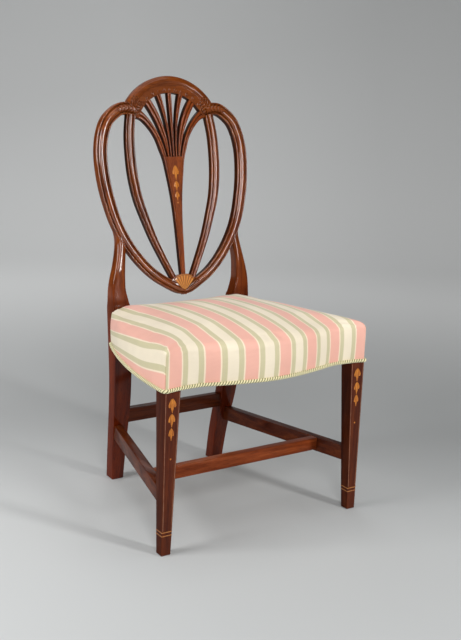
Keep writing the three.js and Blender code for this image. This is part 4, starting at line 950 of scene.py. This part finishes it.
for side, hand in ((1, "right"), (-1, "left")):
    piece = skin("front_leg_tapered_" + hand, front_leg_rings(), side, dull_shaded_sides)
    settle(piece, leg_mahogany_painted_darker, "mahogany", "front_leg_" + hand)
    for number, flower in enumerate(leg_flowers, 1):
        centre = half_width - leg_size(flower[0] - tip_to_middle) / 2
        piece = petals("leg_bellflower_%d_petals_%s" % (number, hand), flower, centre, 0, on_leg, side,
                       leg_dot if number == 3 else None)
        settle(piece, upright_satinwood, "satinwood_inlay", "leg_bellflower_%d_%s" % (number, hand))
    refinish(leg_stringing, "leg_outer_line_" + hand, "leg_inner_line_" + hand)
    refinish(pale_stringing, "foot_band_1_" + hand, "foot_band_2_" + hand)


# Stretchers
# Plain mahogany bars with softened arrises join the legs as an H, and a fourth joins the rear legs.
# Their mahogany is painted darker than the back's, as shade under the seat, except the middle bar's, which
# is painted lighter, as painted light, under a duller polish.
side_top = 148
side_height = 34
bar_thickness = 20
bar_setback = 2.2
bar_sunk = 3
bar_arris = 1.1
middle_height = 28.5
middle_back = 101
middle_sunk = 1
middle_drop = 0.1
rear_bar_top = 188
rear_bar_height = 34.5
rear_bar_thickness = 18
rear_bar_setback = 1.4

# the side stretchers' mahogany is a darker copy, painted darker as shade under the seat
side_mahogany_painted_darker = mahogany("mahogany_lengthwise_shaded_french_polished", 1, dark="#38150B", middle="#552615",
                         light="#6E381F", gloss=0.2, shine=1.5)
# the middle stretcher's mahogany is a lighter copy, painted lighter as painted light, with a duller polish
rubbed_mahogany = mahogany("mahogany_middle_painted_lighter", 0, dark="#5E2815", middle="#86442A", light="#A05C3A",
                           gloss=0.12, shine=1.5)


def bar(name, start, end, thickness, low, high):
    """A level bar between two places in plan, its long arrises softened."""
    (x0, y0), (x1, y1) = start, end
    deselect()
    bpy.ops.mesh.primitive_cube_add(size=1)
    piece = bpy.context.object
    piece.name = piece.data.name = name
    piece.scale = (math.hypot(x1 - x0, y1 - y0) / 1000, thickness / 1000, (high - low) / 1000)
    piece.rotation_euler.z = math.atan2(y1 - y0, x1 - x0)
    piece.location = ((x0 + x1) / 2000, ((y0 + y1) / 2 + seat_shift) / 1000, (low + high) / 2000)
    bpy.ops.object.transform_apply()
    bpy.ops.object.mode_set(mode="EDIT")
    bpy.ops.mesh.select_all(action="SELECT")
    bpy.ops.mesh.bevel(offset=bar_arris / 1000, segments=3)
    bpy.ops.object.mode_set(mode="OBJECT")
    bpy.ops.object.shade_smooth_by_angle(angle=math.radians(38))
    return piece


def rear_leg_at(z):
    """A rear leg's outer and inner edge, front face and depth at a height."""
    outer, width, face, depth = (np.interp(z, leg_rows[:, 0], leg_rows[:, i]) for i in (1, 2, 3, 4))
    return outer, outer - width, face, depth


side_middle = side_top - side_height / 2
outer, inner, face, depth = rear_leg_at(side_middle)
front_end = np.array((half_width - bar_setback - bar_thickness / 2, -front_reach + leg_size(side_middle)))
rear_end = np.array((outer - bar_setback - bar_thickness / 2, face))
for side, hand in ((1, "right"), (-1, "left")):
    way = (rear_end - front_end) / np.linalg.norm(rear_end - front_end)
    piece = bar("side_stretcher_" + hand + "_softened", (front_end - way * bar_sunk) * (side, 1),
                (rear_end + way * bar_sunk) * (side, 1), bar_thickness, side_top - side_height, side_top)
    settle(piece, side_mahogany_painted_darker, "mahogany", "side_stretcher_" + hand)

middle_y = -front_reach + middle_back + bar_thickness / 2
middle_x = np.interp(middle_y, (front_end[1], rear_end[1]), (front_end[0], rear_end[0])) - bar_thickness / 2
piece = bar("middle_stretcher_painted_lighter", (-middle_x - middle_sunk, middle_y),
            (middle_x + middle_sunk, middle_y), bar_thickness, side_top - middle_height,
            side_top - middle_drop)
settle(piece, rubbed_mahogany, "rubbed_mahogany", "middle_stretcher")

outer, inner, face, depth = rear_leg_at(rear_bar_top - rear_bar_height / 2)
rear_y = face + rear_bar_thickness / 2 + rear_bar_setback
piece = bar("rear_stretcher_softened", (-inner - bar_sunk, rear_y), (inner + bar_sunk, rear_y),
            rear_bar_thickness, rear_bar_top - rear_bar_height, rear_bar_top)
# the rear stretcher's mahogany is a darker copy, painted darker as shade under the seat
rear_mahogany_painted_darker = mahogany("mahogany_rear_bar_shaded", 0, dark="#34140B", middle="#552818", light="#6E3A22",
                         gloss=0.2, shine=1.5)
settle(piece, rear_mahogany_painted_darker, "mahogany", "rear_stretcher")


# Seat frame and its webbing
# Beech rails and corner blocks, hidden under the cover, hold jute webs woven four each way, with a
# sheet of hessian over them. They show only from below.
def sawn_beech(name, grain_axis):
    """Beech left from the saw: pale pinkish tan with short darker flecks, and no polish."""
    finish, tree = new_finish(name)
    stretch = [1.0, 1.0, 1.0]
    stretch[grain_axis] = 0.12
    place = add_node(tree, "TexCoord").outputs["Object"]
    run = add_node(tree, "Mapping", {"Vector": place, "Scale": stretch})
    flecks = add_node(tree, "TexNoise", {"Vector": run.outputs[0], "Scale": 260.0, "Detail": 4.0})
    tones = add_node(tree, "ValToRGB", {"Fac": flecks.outputs["Fac"]})
    tones.color_ramp.elements[0].position = 0.34
    tones.color_ramp.elements[0].color = linear("#A67A4C")
    tones.color_ramp.elements[1].position = 0.66
    tones.color_ramp.elements[1].color = linear("#CDA474")
    bump = add_node(tree, "Bump", {"Height": flecks.outputs["Fac"], "Strength": 0.3, "Distance": 0.0006})
    surface = add_node(tree, "BsdfPrincipled", {
        "Base Color": tones.outputs[0], "Roughness": 0.78, "Normal": bump.outputs[0]})
    add_node(tree, "OutputMaterial", {"Surface": surface.outputs[0]})
    return finish


def woven_jute(name, thread_mm):
    """Jute: coarse tan yarn in plain weave. Its threads are drawn about six times as wide as the given
    width in millimetres, so that the weave shows."""
    finish, tree = new_finish(name)
    place = add_node(tree, "TexCoord").outputs["Object"]
    scale = 1000 / thread_mm / 20
    warp, weft = (add_node(tree, "TexWave", {"Vector": place, "Scale": scale, "Distortion": 0.6},
                           bands_direction=way) for way in ("X", "Y"))
    weave = add_node(tree, "Math", {0: warp.outputs["Fac"], 1: weft.outputs["Fac"]}, operation="MULTIPLY")
    tones = add_node(tree, "MixRGB", {"Fac": weave.outputs[0], "Color1": linear("#6E5534"),
                                      "Color2": linear("#B99A69")})
    bump = add_node(tree, "Bump", {"Height": weave.outputs[0], "Strength": 0.6, "Distance": 0.001})
    surface = add_node(tree, "BsdfPrincipled", {
        "Base Color": tones.outputs[0], "Roughness": 0.95, "Normal": bump.outputs[0]})
    add_node(tree, "OutputMaterial", {"Surface": surface.outputs[0]})
    return finish


refinish(sawn_beech("beech_crosswise_sawn", 0), "front_seat_rail", "rear_seat_rail")
refinish(sawn_beech("beech_lengthwise_sawn", 1), "side_seat_rail_left", "side_seat_rail_right",
         "front_corner_block_left", "front_corner_block_right", "rear_corner_block_left",
         "rear_corner_block_right")
refinish(woven_jute("jute_web_woven", 2.4), *("%s_web_%d" % (run, i) for run in ("long", "cross")
                                              for i in (1, 2, 3, 4)))
refinish(woven_jute("hessian_plain_weave", 1.6), "hessian")


# Upholstered seat
# Striped silk is drawn tight over a horsehair pad with a low crown and a rounded edge, down over
# the rails on all sides, and cut round the posts. It is folded upright at both front corners.
cover_half = half_width + 2
cover_front = -front_reach - 2
panel_end = 147
cover_rear = 176.5
edge_drop = 7
crown = 14
panel_swell = 2.5
serpentine = 23
serpentine_shares = [(0, 1), (0.12, 0.93), (0.24, 0.72), (0.4, 0.37), (0.54, -0.04), (0.63, -0.33),
                     (0.73, -0.43), (0.84, -0.36), (0.93, -0.22), (1, 0)]
round_middle = 27
round_corner = 17
corner_bend = 9
fold_depth = 1.5
ceiling = 422.6
frame_front_half = 255
frame_rear_half = 180.5
cover_over_frame = 8
hem_turned_in = 7.5
rear_hem_turned_in = 2.4
side_lay_share = 0.8
rear_lay_share = 0.44
puff_limit = 7
held_up_to = 415
freed_within = 30
rear_cut_inner = 137.6
rear_cut_sunk = 1.5
cutter_reach = 300
cutter_low = 300
cutter_high = 600
room_round_post = 0.4
# places across the seat of the middles of the pink stripes
pink_middles = [-400, -318, -237, -148, -64, 18, 98, 176, 249, 330, 408]

swell_line = spline(serpentine_shares)


def front_swell(x):
    """How far the serpentine front swells out, or is drawn in, at a place across."""
    return serpentine * np.interp(np.minimum(np.abs(x) / half_width, 1), swell_line[:, 0], swell_line[:, 1])


def side_at(y):
    """Half the cover's width at a place from front to rear: the sides are bowed and draw in."""
    run = (y + front_reach) / (panel_end + front_reach)
    return frame_front_half - (frame_front_half - frame_rear_half) * run ** 2 + cover_over_frame


def edge_height(y):
    """Height of the seat's edge, which falls a little to the rear."""
    return seat_edge_height - edge_drop * (y - cover_front) / (cover_rear - cover_front)


near_corner = [0, 1.5, 3.5, 6]
cover_depth = cover_rear - cover_front
across_places = np.concatenate([near_corner, np.linspace(9, 2 * cover_half - 9, 71),
                                2 * cover_half - np.array(near_corner[::-1])]) - cover_half
depth_places = np.concatenate([near_corner, np.linspace(9, cover_depth, 57)]) + cover_front
across_count, depth_count = len(across_places) - 1, len(depth_places) - 1
border = 2 * (across_count + depth_count)
corner_at = np.array([0, across_count, across_count + depth_count, 2 * across_count + depth_count])


def outline(inset, bend=corner_bend):
    """The cover's plan drawn in by an inset for each of its points, which run counter-clockwise from
    the front left corner. Every drawn-in line keeps its corners, so that no two lines ever cross."""
    inset = np.broadcast_to(np.asarray(inset, float), border)
    front = inset[:across_count + 1]
    right = inset[across_count:across_count + depth_count + 1]
    rear = inset[across_count + depth_count:2 * across_count + depth_count + 1]
    left = np.append(inset[2 * across_count + depth_count:], inset[0])
    corner_x = cover_half - inset[0]
    corner_y = cover_front - float(front_swell(corner_x)) + inset[0]
    x = across_places * corner_x / cover_half
    y = cover_front - front_swell(x) + front
    reach = (corner_x - np.abs(x)) / bend
    turn = math.pi / 4 * (1 - np.minimum(reach, 1))
    drawn_x = np.where(reach < 1, np.sign(x) * (corner_x - bend * (1 - np.sin(turn))), x)
    front_line = np.column_stack([drawn_x, y + np.where(reach < 1, bend * (1 - np.cos(turn)), 0)])
    sides = []
    for one in (right, left[::-1]):
        y = corner_y + (depth_places - cover_front) * (cover_rear - one[-1] - corner_y) / cover_depth
        x = side_at(y) - one
        reach = (y - corner_y) / bend
        turn = math.pi / 2 - math.pi / 4 * (1 - np.minimum(reach, 1))
        x = np.where(reach < 1, corner_x - bend * (1 - np.sin(turn)), x)
        y = np.where(reach < 1, corner_y + bend * (1 - np.cos(turn)), y)
        sides.append(np.column_stack([x, y]))
    right_line, left_line = sides[0], sides[1][::-1] * (-1, 1)
    x = -across_places / cover_half * right_line[-1, 0]
    rear_line = np.column_stack([x, cover_rear - rear])
    return np.vstack([front_line[:-1], right_line[:-1], rear_line[:-1], left_line[:-1]])


def spread(ring):
    """A net of places between the four sides of a ring: rows from front to rear, each from left to right."""
    s, t = across_shares, depth_shares
    front = ring[:across_count + 1]
    right = ring[across_count:across_count + depth_count + 1]
    rear = ring[across_count + depth_count:2 * across_count + depth_count + 1][::-1]
    left = np.vstack([ring[2 * across_count + depth_count:], ring[:1]])[::-1]
    corners = ((1 - s) * (1 - t) * front[0] + s * (1 - t) * front[-1] + (1 - s) * t * rear[0]
               + s * t * rear[-1])
    return ((1 - t) * front[None] + t * rear[None] + (1 - s) * left[:, None] + s * right[:, None] - corners)


across_shares = ((across_places + cover_half) / (2 * cover_half))[None, :, None]
depth_shares = ((depth_places - cover_front) / cover_depth)[:, None, None]
plan = outline(0)
corner_distance = np.linalg.norm(plan[:, None, :] - plan[corner_at][None, :, :], axis=2).min(axis=1)
radius = round_corner + (round_middle - round_corner) * smooth(corner_distance, 10, 120)
lip = outline(radius)
lip_height = edge_height(plan[:, 1])

# rings down from the lip: round the edge, then down the panel to the hem
levels = []
for turn in np.radians(np.linspace(0, 90, 11)[1:]):
    levels.append((outline(radius * (1 - math.sin(turn))), lip_height - radius * (1 - math.cos(turn))))
rounding = len(levels)
for share in np.linspace(0, 1, 16)[1:]:
    out = panel_swell * math.sin(math.pi * share ** 0.8) * smooth(corner_distance, 0, 40)
    levels.append((outline(-out), (lip_height - radius) * (1 - share) + rail_bottom * share))

top = spread(lip)
swelling = (1 - (2 * across_shares[..., 0] - 1) ** 2) * (1 - (2 * depth_shares[..., 0] - 1) ** 2)
top_height = edge_height(top[..., 1]) + crown * swelling ** 0.95
top_points = np.concatenate([top, top_height[..., None]], axis=-1).reshape(-1, 3)


def net_faces(start):
    """The faces of a net of points, and its rim as a ring that runs like the outline."""
    def at(i, j):
        return start + j * (across_count + 1) + i

    quads = [(at(i, j), at(i + 1, j), at(i + 1, j + 1), at(i, j + 1))
             for j in range(depth_count) for i in range(across_count)]
    rim = ([at(i, 0) for i in range(across_count)] + [at(across_count, j) for j in range(depth_count)]
           + [at(across_count - i, depth_count) for i in range(across_count)]
           + [at(0, depth_count - j) for j in range(depth_count)])
    return quads, rim


def walls(upper, lower):
    """Faces between two rings."""
    return [(upper[k], lower[k], lower[(k + 1) % border], upper[(k + 1) % border]) for k in range(border)]


faces, rim = net_faces(0)
top_faces = len(faces)
rings = [rim] + [list(range(len(top_points) + i * border, len(top_points) + (i + 1) * border))
                 for i in range(len(levels))]
points = np.vstack([top_points] + [np.column_stack(level) for level in levels])
for upper, lower in zip(rings, rings[1:]):
    faces += walls(upper, lower)

# where each face's corners lie on the flat cloth, in stripe repeats and metres
pink_phase = np.arange(len(pink_middles)) - pink_middles.index(18)
drops = np.zeros((len(rings), border))
for level in range(1, len(rings)):
    drops[level] = drops[level - 1] + np.linalg.norm(points[rings[level]] - points[rings[level - 1]], axis=1)
side_of = (["front"] * across_count + ["right"] * depth_count + ["rear"] * across_count
           + ["left"] * depth_count)


def cloth_place(k, side, level):
    """A border point's place on the cloth: upright stripes in front, and stripes laid over at the sides."""
    x, y, _ = points[rings[level][k]]
    if side in ("front", "rear"):
        across, down = x, lip[k, 1] + (-1 if side == "front" else 1) * drops[level, k]
    else:
        to_rear = float(smooth(y, -front_reach, panel_end))
        pulled = drops[level, k] * (side_lay_share + rear_lay_share * to_rear)
        across, down = lip[k, 0] + (1 if side == "right" else -1) * pulled, y
    return float(np.interp(across, pink_middles, pink_phase)), down / 1000


cloth_places = []
for face in faces[:top_faces]:
    cloth_places += [(float(np.interp(points[i][0], pink_middles, pink_phase)), points[i][1] / 1000)
                     for i in face]
for level in range(len(levels)):
    for k in range(border):
        following, side = (k + 1) % border, side_of[k]
        cloth_places += [cloth_place(k, side, level), cloth_place(k, side, level + 1),
                         cloth_place(following, side, level + 1), cloth_place(following, side, level)]

# the fold at each front corner is tucked in
for level in range(4, len(rings)):
    tuck = fold_depth * float(smooth(level, 4, rounding + 2))
    for k, sign in ((across_count, 1), (0, -1)):
        points[rings[level][k], :2] += (-0.7 * sign * tuck, 0.7 * tuck)

# closed below: turned in under the hem, up inside the rails, and across above the hessian
outside_count, outside_faces = len(points), len(faces)
inner_plan = outline(np.where(plan[:, 1] > cover_rear - 1, rear_hem_turned_in, hem_turned_in))
inner = spread(inner_plan)
inner_points = np.concatenate([inner, np.full(inner.shape[:2] + (1,), ceiling)], axis=-1).reshape(-1, 3)
turned_in = list(range(outside_count, outside_count + border))
points = np.vstack([points, np.column_stack([inner_plan, np.full(border, rail_bottom)]), inner_points])
ceiling_faces, ceiling_rim = net_faces(outside_count + border)
faces += walls(rings[-1], turned_in) + walls(turned_in, ceiling_rim)
faces += [face[::-1] for face in ceiling_faces]
cloth_places += [(0.5, 0.0)] * (4 * (len(faces) - outside_faces))


def mesh_piece(name, corners, polygons):
    """A piece from millimetre corners and polygons."""
    mesh = bpy.data.meshes.new(name)
    mesh.from_pydata((corners + (0, seat_shift, 0)) / 1000, [], polygons)
    piece = bpy.data.objects.new(name, mesh)
    scene.collection.objects.link(piece)
    return piece


def puffed(corners, polygons, held):
    """The cover after the pad has pushed it out, by a short cloth simulation with a limit to each move."""
    trial = mesh_piece("cover_trial", corners, polygons)
    group = trial.vertex_groups.new(name="held")
    for index, weight in enumerate(held):
        group.add([index], float(weight), "REPLACE")
    cloth = trial.modifiers.new("cloth", "CLOTH")
    cloth.settings.quality = 6
    cloth.settings.mass = 0.25
    cloth.settings.tension_stiffness = cloth.settings.compression_stiffness = 22
    cloth.settings.shear_stiffness = 8
    cloth.settings.bending_stiffness = 1.2
    cloth.settings.use_pressure = True
    cloth.settings.uniform_pressure_force = 0.6
    cloth.settings.vertex_group_mass = "held"
    cloth.settings.effector_weights.gravity = 0
    cloth.collision_settings.use_collision = False
    cloth.point_cache.frame_start, cloth.point_cache.frame_end = 1, 20
    for number in range(1, 21):
        scene.frame_set(number)
    shape = trial.evaluated_get(bpy.context.evaluated_depsgraph_get()).data
    moved = np.empty(len(shape.vertices) * 3)
    shape.vertices.foreach_get("co", moved)
    moved = moved.reshape(-1, 3) * 1000 - (0, seat_shift, 0)
    bpy.data.objects.remove(trial)
    scene.frame_set(1)
    shift = moved - corners
    size = np.linalg.norm(shift, axis=1, keepdims=True)
    return corners + shift * np.minimum(1, puff_limit / np.maximum(size, 1e-9))


free = np.clip((points[:outside_count, 2] - held_up_to) / freed_within, 0, 1)
points[:outside_count] = puffed(points[:outside_count], faces[:outside_faces], 1 - 0.97 * free)

seat = mesh_piece("seat_upholstery_striped", points, faces)
cloth_map = seat.data.uv_layers.new(name="cloth")
cloth_map.data.foreach_set("uv", np.array(cloth_places, float).ravel())


def striped_silk(name):
    """Striped silk with a repeat of about 82 mm: a pink stripe between thin cream lines, then sage, ivory
    and sage. Its cross ribs, really 0.5 mm apart, are drawn 9.5 mm apart, so that their faint unevenness
    shows."""
    finish, tree = new_finish(name)
    cloth = add_node(tree, "UVMap", uv_map="cloth")
    parts = add_node(tree, "SeparateXYZ", {"Vector": cloth.outputs[0]})
    share = add_node(tree, "Math", {0: parts.outputs["X"]}, operation="FRACT")
    stripes = add_node(tree, "ValToRGB", {"Fac": share.outputs[0]})
    stripe_start_shares = [("pink", 0.0), ("cream", 0.179), ("sage", 0.217), ("ivory", 0.356),
                           ("sage", 0.644), ("cream", 0.783), ("pink", 0.821)]
    tones = {"pink": "#F0B5A3", "cream": "#F6E2C8", "sage": "#CFC6A0", "ivory": "#F1E4CB"}
    ramp = stripes.color_ramp
    ramp.elements[0].color = ramp.elements[1].color = linear(tones["pink"])
    for (before, _), (after, start) in zip(stripe_start_shares, stripe_start_shares[1:]):
        ramp.elements.new(start - 0.006).color = linear(tones[before])
        ramp.elements.new(start + 0.006).color = linear(tones[after])
    place = add_node(tree, "TexCoord").outputs["Object"]
    soil = add_node(tree, "TexNoise", {"Vector": place, "Scale": 16.0, "Detail": 4.0})
    shade = add_node(tree, "MapRange", {"Value": soil.outputs["Fac"], "From Min": 0.3, "From Max": 0.7,
                                        "To Min": 0.95, "To Max": 1.03})
    toned = add_node(tree, "HueSaturation", {"Color": stripes.outputs[0], "Value": shade.outputs[0]})
    ribs = add_node(tree, "TexWave", {"Vector": cloth.outputs[0], "Scale": 33.0, "Distortion": 0.8},
                    bands_direction="Y")
    bump = add_node(tree, "Bump", {"Height": ribs.outputs["Fac"], "Strength": 0.16, "Distance": 0.0006})
    surface = add_node(tree, "BsdfPrincipled", {
        "Base Color": toned.outputs[0], "Roughness": 0.62, "Normal": bump.outputs[0],
        "Sheen Weight": 0.15, "Sheen Roughness": 0.45})
    add_node(tree, "OutputMaterial", {"Surface": surface.outputs[0]})
    return finish


silk = striped_silk("silk_striped_ribbed")
seat.data.materials.append(silk)
for polygon in seat.data.polygons:
    polygon.use_smooth = True
# the cover's rear panel runs only between the posts, so what lies outside them is cut away
behind_post = [oblong(max(outer - width, rear_cut_inner) + rear_cut_sunk, cutter_reach,
                      panel_end, cutter_reach, z, [0.5] * 4)
               for z, outer, width, face, depth in spline(leg_rows, 6) if cutter_low < z < cutter_high]
for side in (1, -1):
    for cut_rings in (rear_leg_rings(room_round_post, 6, False), behind_post):
        cutter = skin("post_room", cut_rings, side)
        cutter.data.materials.append(silk)
        cut(seat, cutter)
deselect()
seat.select_set(True)
bpy.context.view_layer.objects.active = seat
bpy.ops.object.shade_smooth_by_angle(angle=math.radians(50))
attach(seat, "root")
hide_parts("seat_cover", "stuffing", "edge_wadding")


# Trim cord
# A cord of six twisted plies, four of them cream and two olive, is sewn along the lower edge of
# the front and of both sides, where it hides the tacks.
cord_diameter = 8.4
cord_sunk = 2.4
ply_count = 6
ply_lay = 12.6
ply_radius_share = 0.17

beside = outline(cord_sunk - cord_diameter / 2, corner_bend + 2)
cord_line = np.vstack([beside[2 * across_count + depth_count:], beside[:across_count + depth_count + 1]])
cord_line = cord_line[cord_line[:, 1] < panel_end]
cord_length = length_of(cord_line)
turns_of_ply = cord_length / ply_lay
ply_radius = cord_diameter * ply_radius_share
ply_offset = cord_diameter / 2 - ply_radius


def cord_ply(number):
    """Rings of one ply that winds round the cord's middle line."""
    shares = np.linspace(0, 1, int(turns_of_ply * 12))
    places, ways = along(cord_line, shares)
    angle = 2 * math.pi * (shares * turns_of_ply + number / ply_count)
    outward = np.stack([ways[:, 1], -ways[:, 0]], axis=-1)
    middle = np.column_stack([places + outward * (ply_offset * np.cos(angle))[:, None],
                              rail_bottom + cord_diameter / 2 + ply_offset * np.sin(angle)])
    way = np.gradient(middle, axis=0)
    way /= np.linalg.norm(way, axis=1, keepdims=True)
    first = np.cross(way, (0, 0, 1.0))
    first /= np.linalg.norm(first, axis=1, keepdims=True)
    second = np.cross(way, first)
    around = np.linspace(0, 2 * math.pi, 9)[:-1]
    return (middle[:, None] + ply_radius * (first[:, None] * np.cos(around)[None, :, None]
                                            + second[:, None] * np.sin(around)[None, :, None]))


def twisted_yarn(name, light, dark):
    """Silk yarn, loosely spun: soft, matt, and darker in the hollows between its strands."""
    finish, tree = new_finish(name)
    place = add_node(tree, "TexCoord").outputs["Object"]
    fuzz = add_node(tree, "TexNoise", {"Vector": place, "Scale": 900.0, "Detail": 2.0})
    tones = add_node(tree, "MixRGB", {"Fac": fuzz.outputs["Fac"], "Color1": linear(dark),
                                      "Color2": linear(light)})
    bump = add_node(tree, "Bump", {"Height": fuzz.outputs["Fac"], "Strength": 0.4, "Distance": 0.0005})
    surface = add_node(tree, "BsdfPrincipled", {
        "Base Color": tones.outputs[0], "Roughness": 0.8, "Normal": bump.outputs[0],
        "Sheen Weight": 0.2, "Sheen Roughness": 0.5})
    add_node(tree, "OutputMaterial", {"Surface": surface.outputs[0]})
    return finish


yarns = [twisted_yarn("yarn_cream", "#F7F0CC", "#E2D9A4"), twisted_yarn("yarn_olive", "#817A3C", "#4E481C")]
plies = [skin("ply", cord_ply(number)) for number in range(ply_count)]
# every third ply is olive
for number, ply in enumerate(plies):
    ply.data.materials.append(yarns[number % 3 == 2])
cord = join("trim_cord_twisted", plies)
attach(cord, "root")
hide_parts("trim_cord")
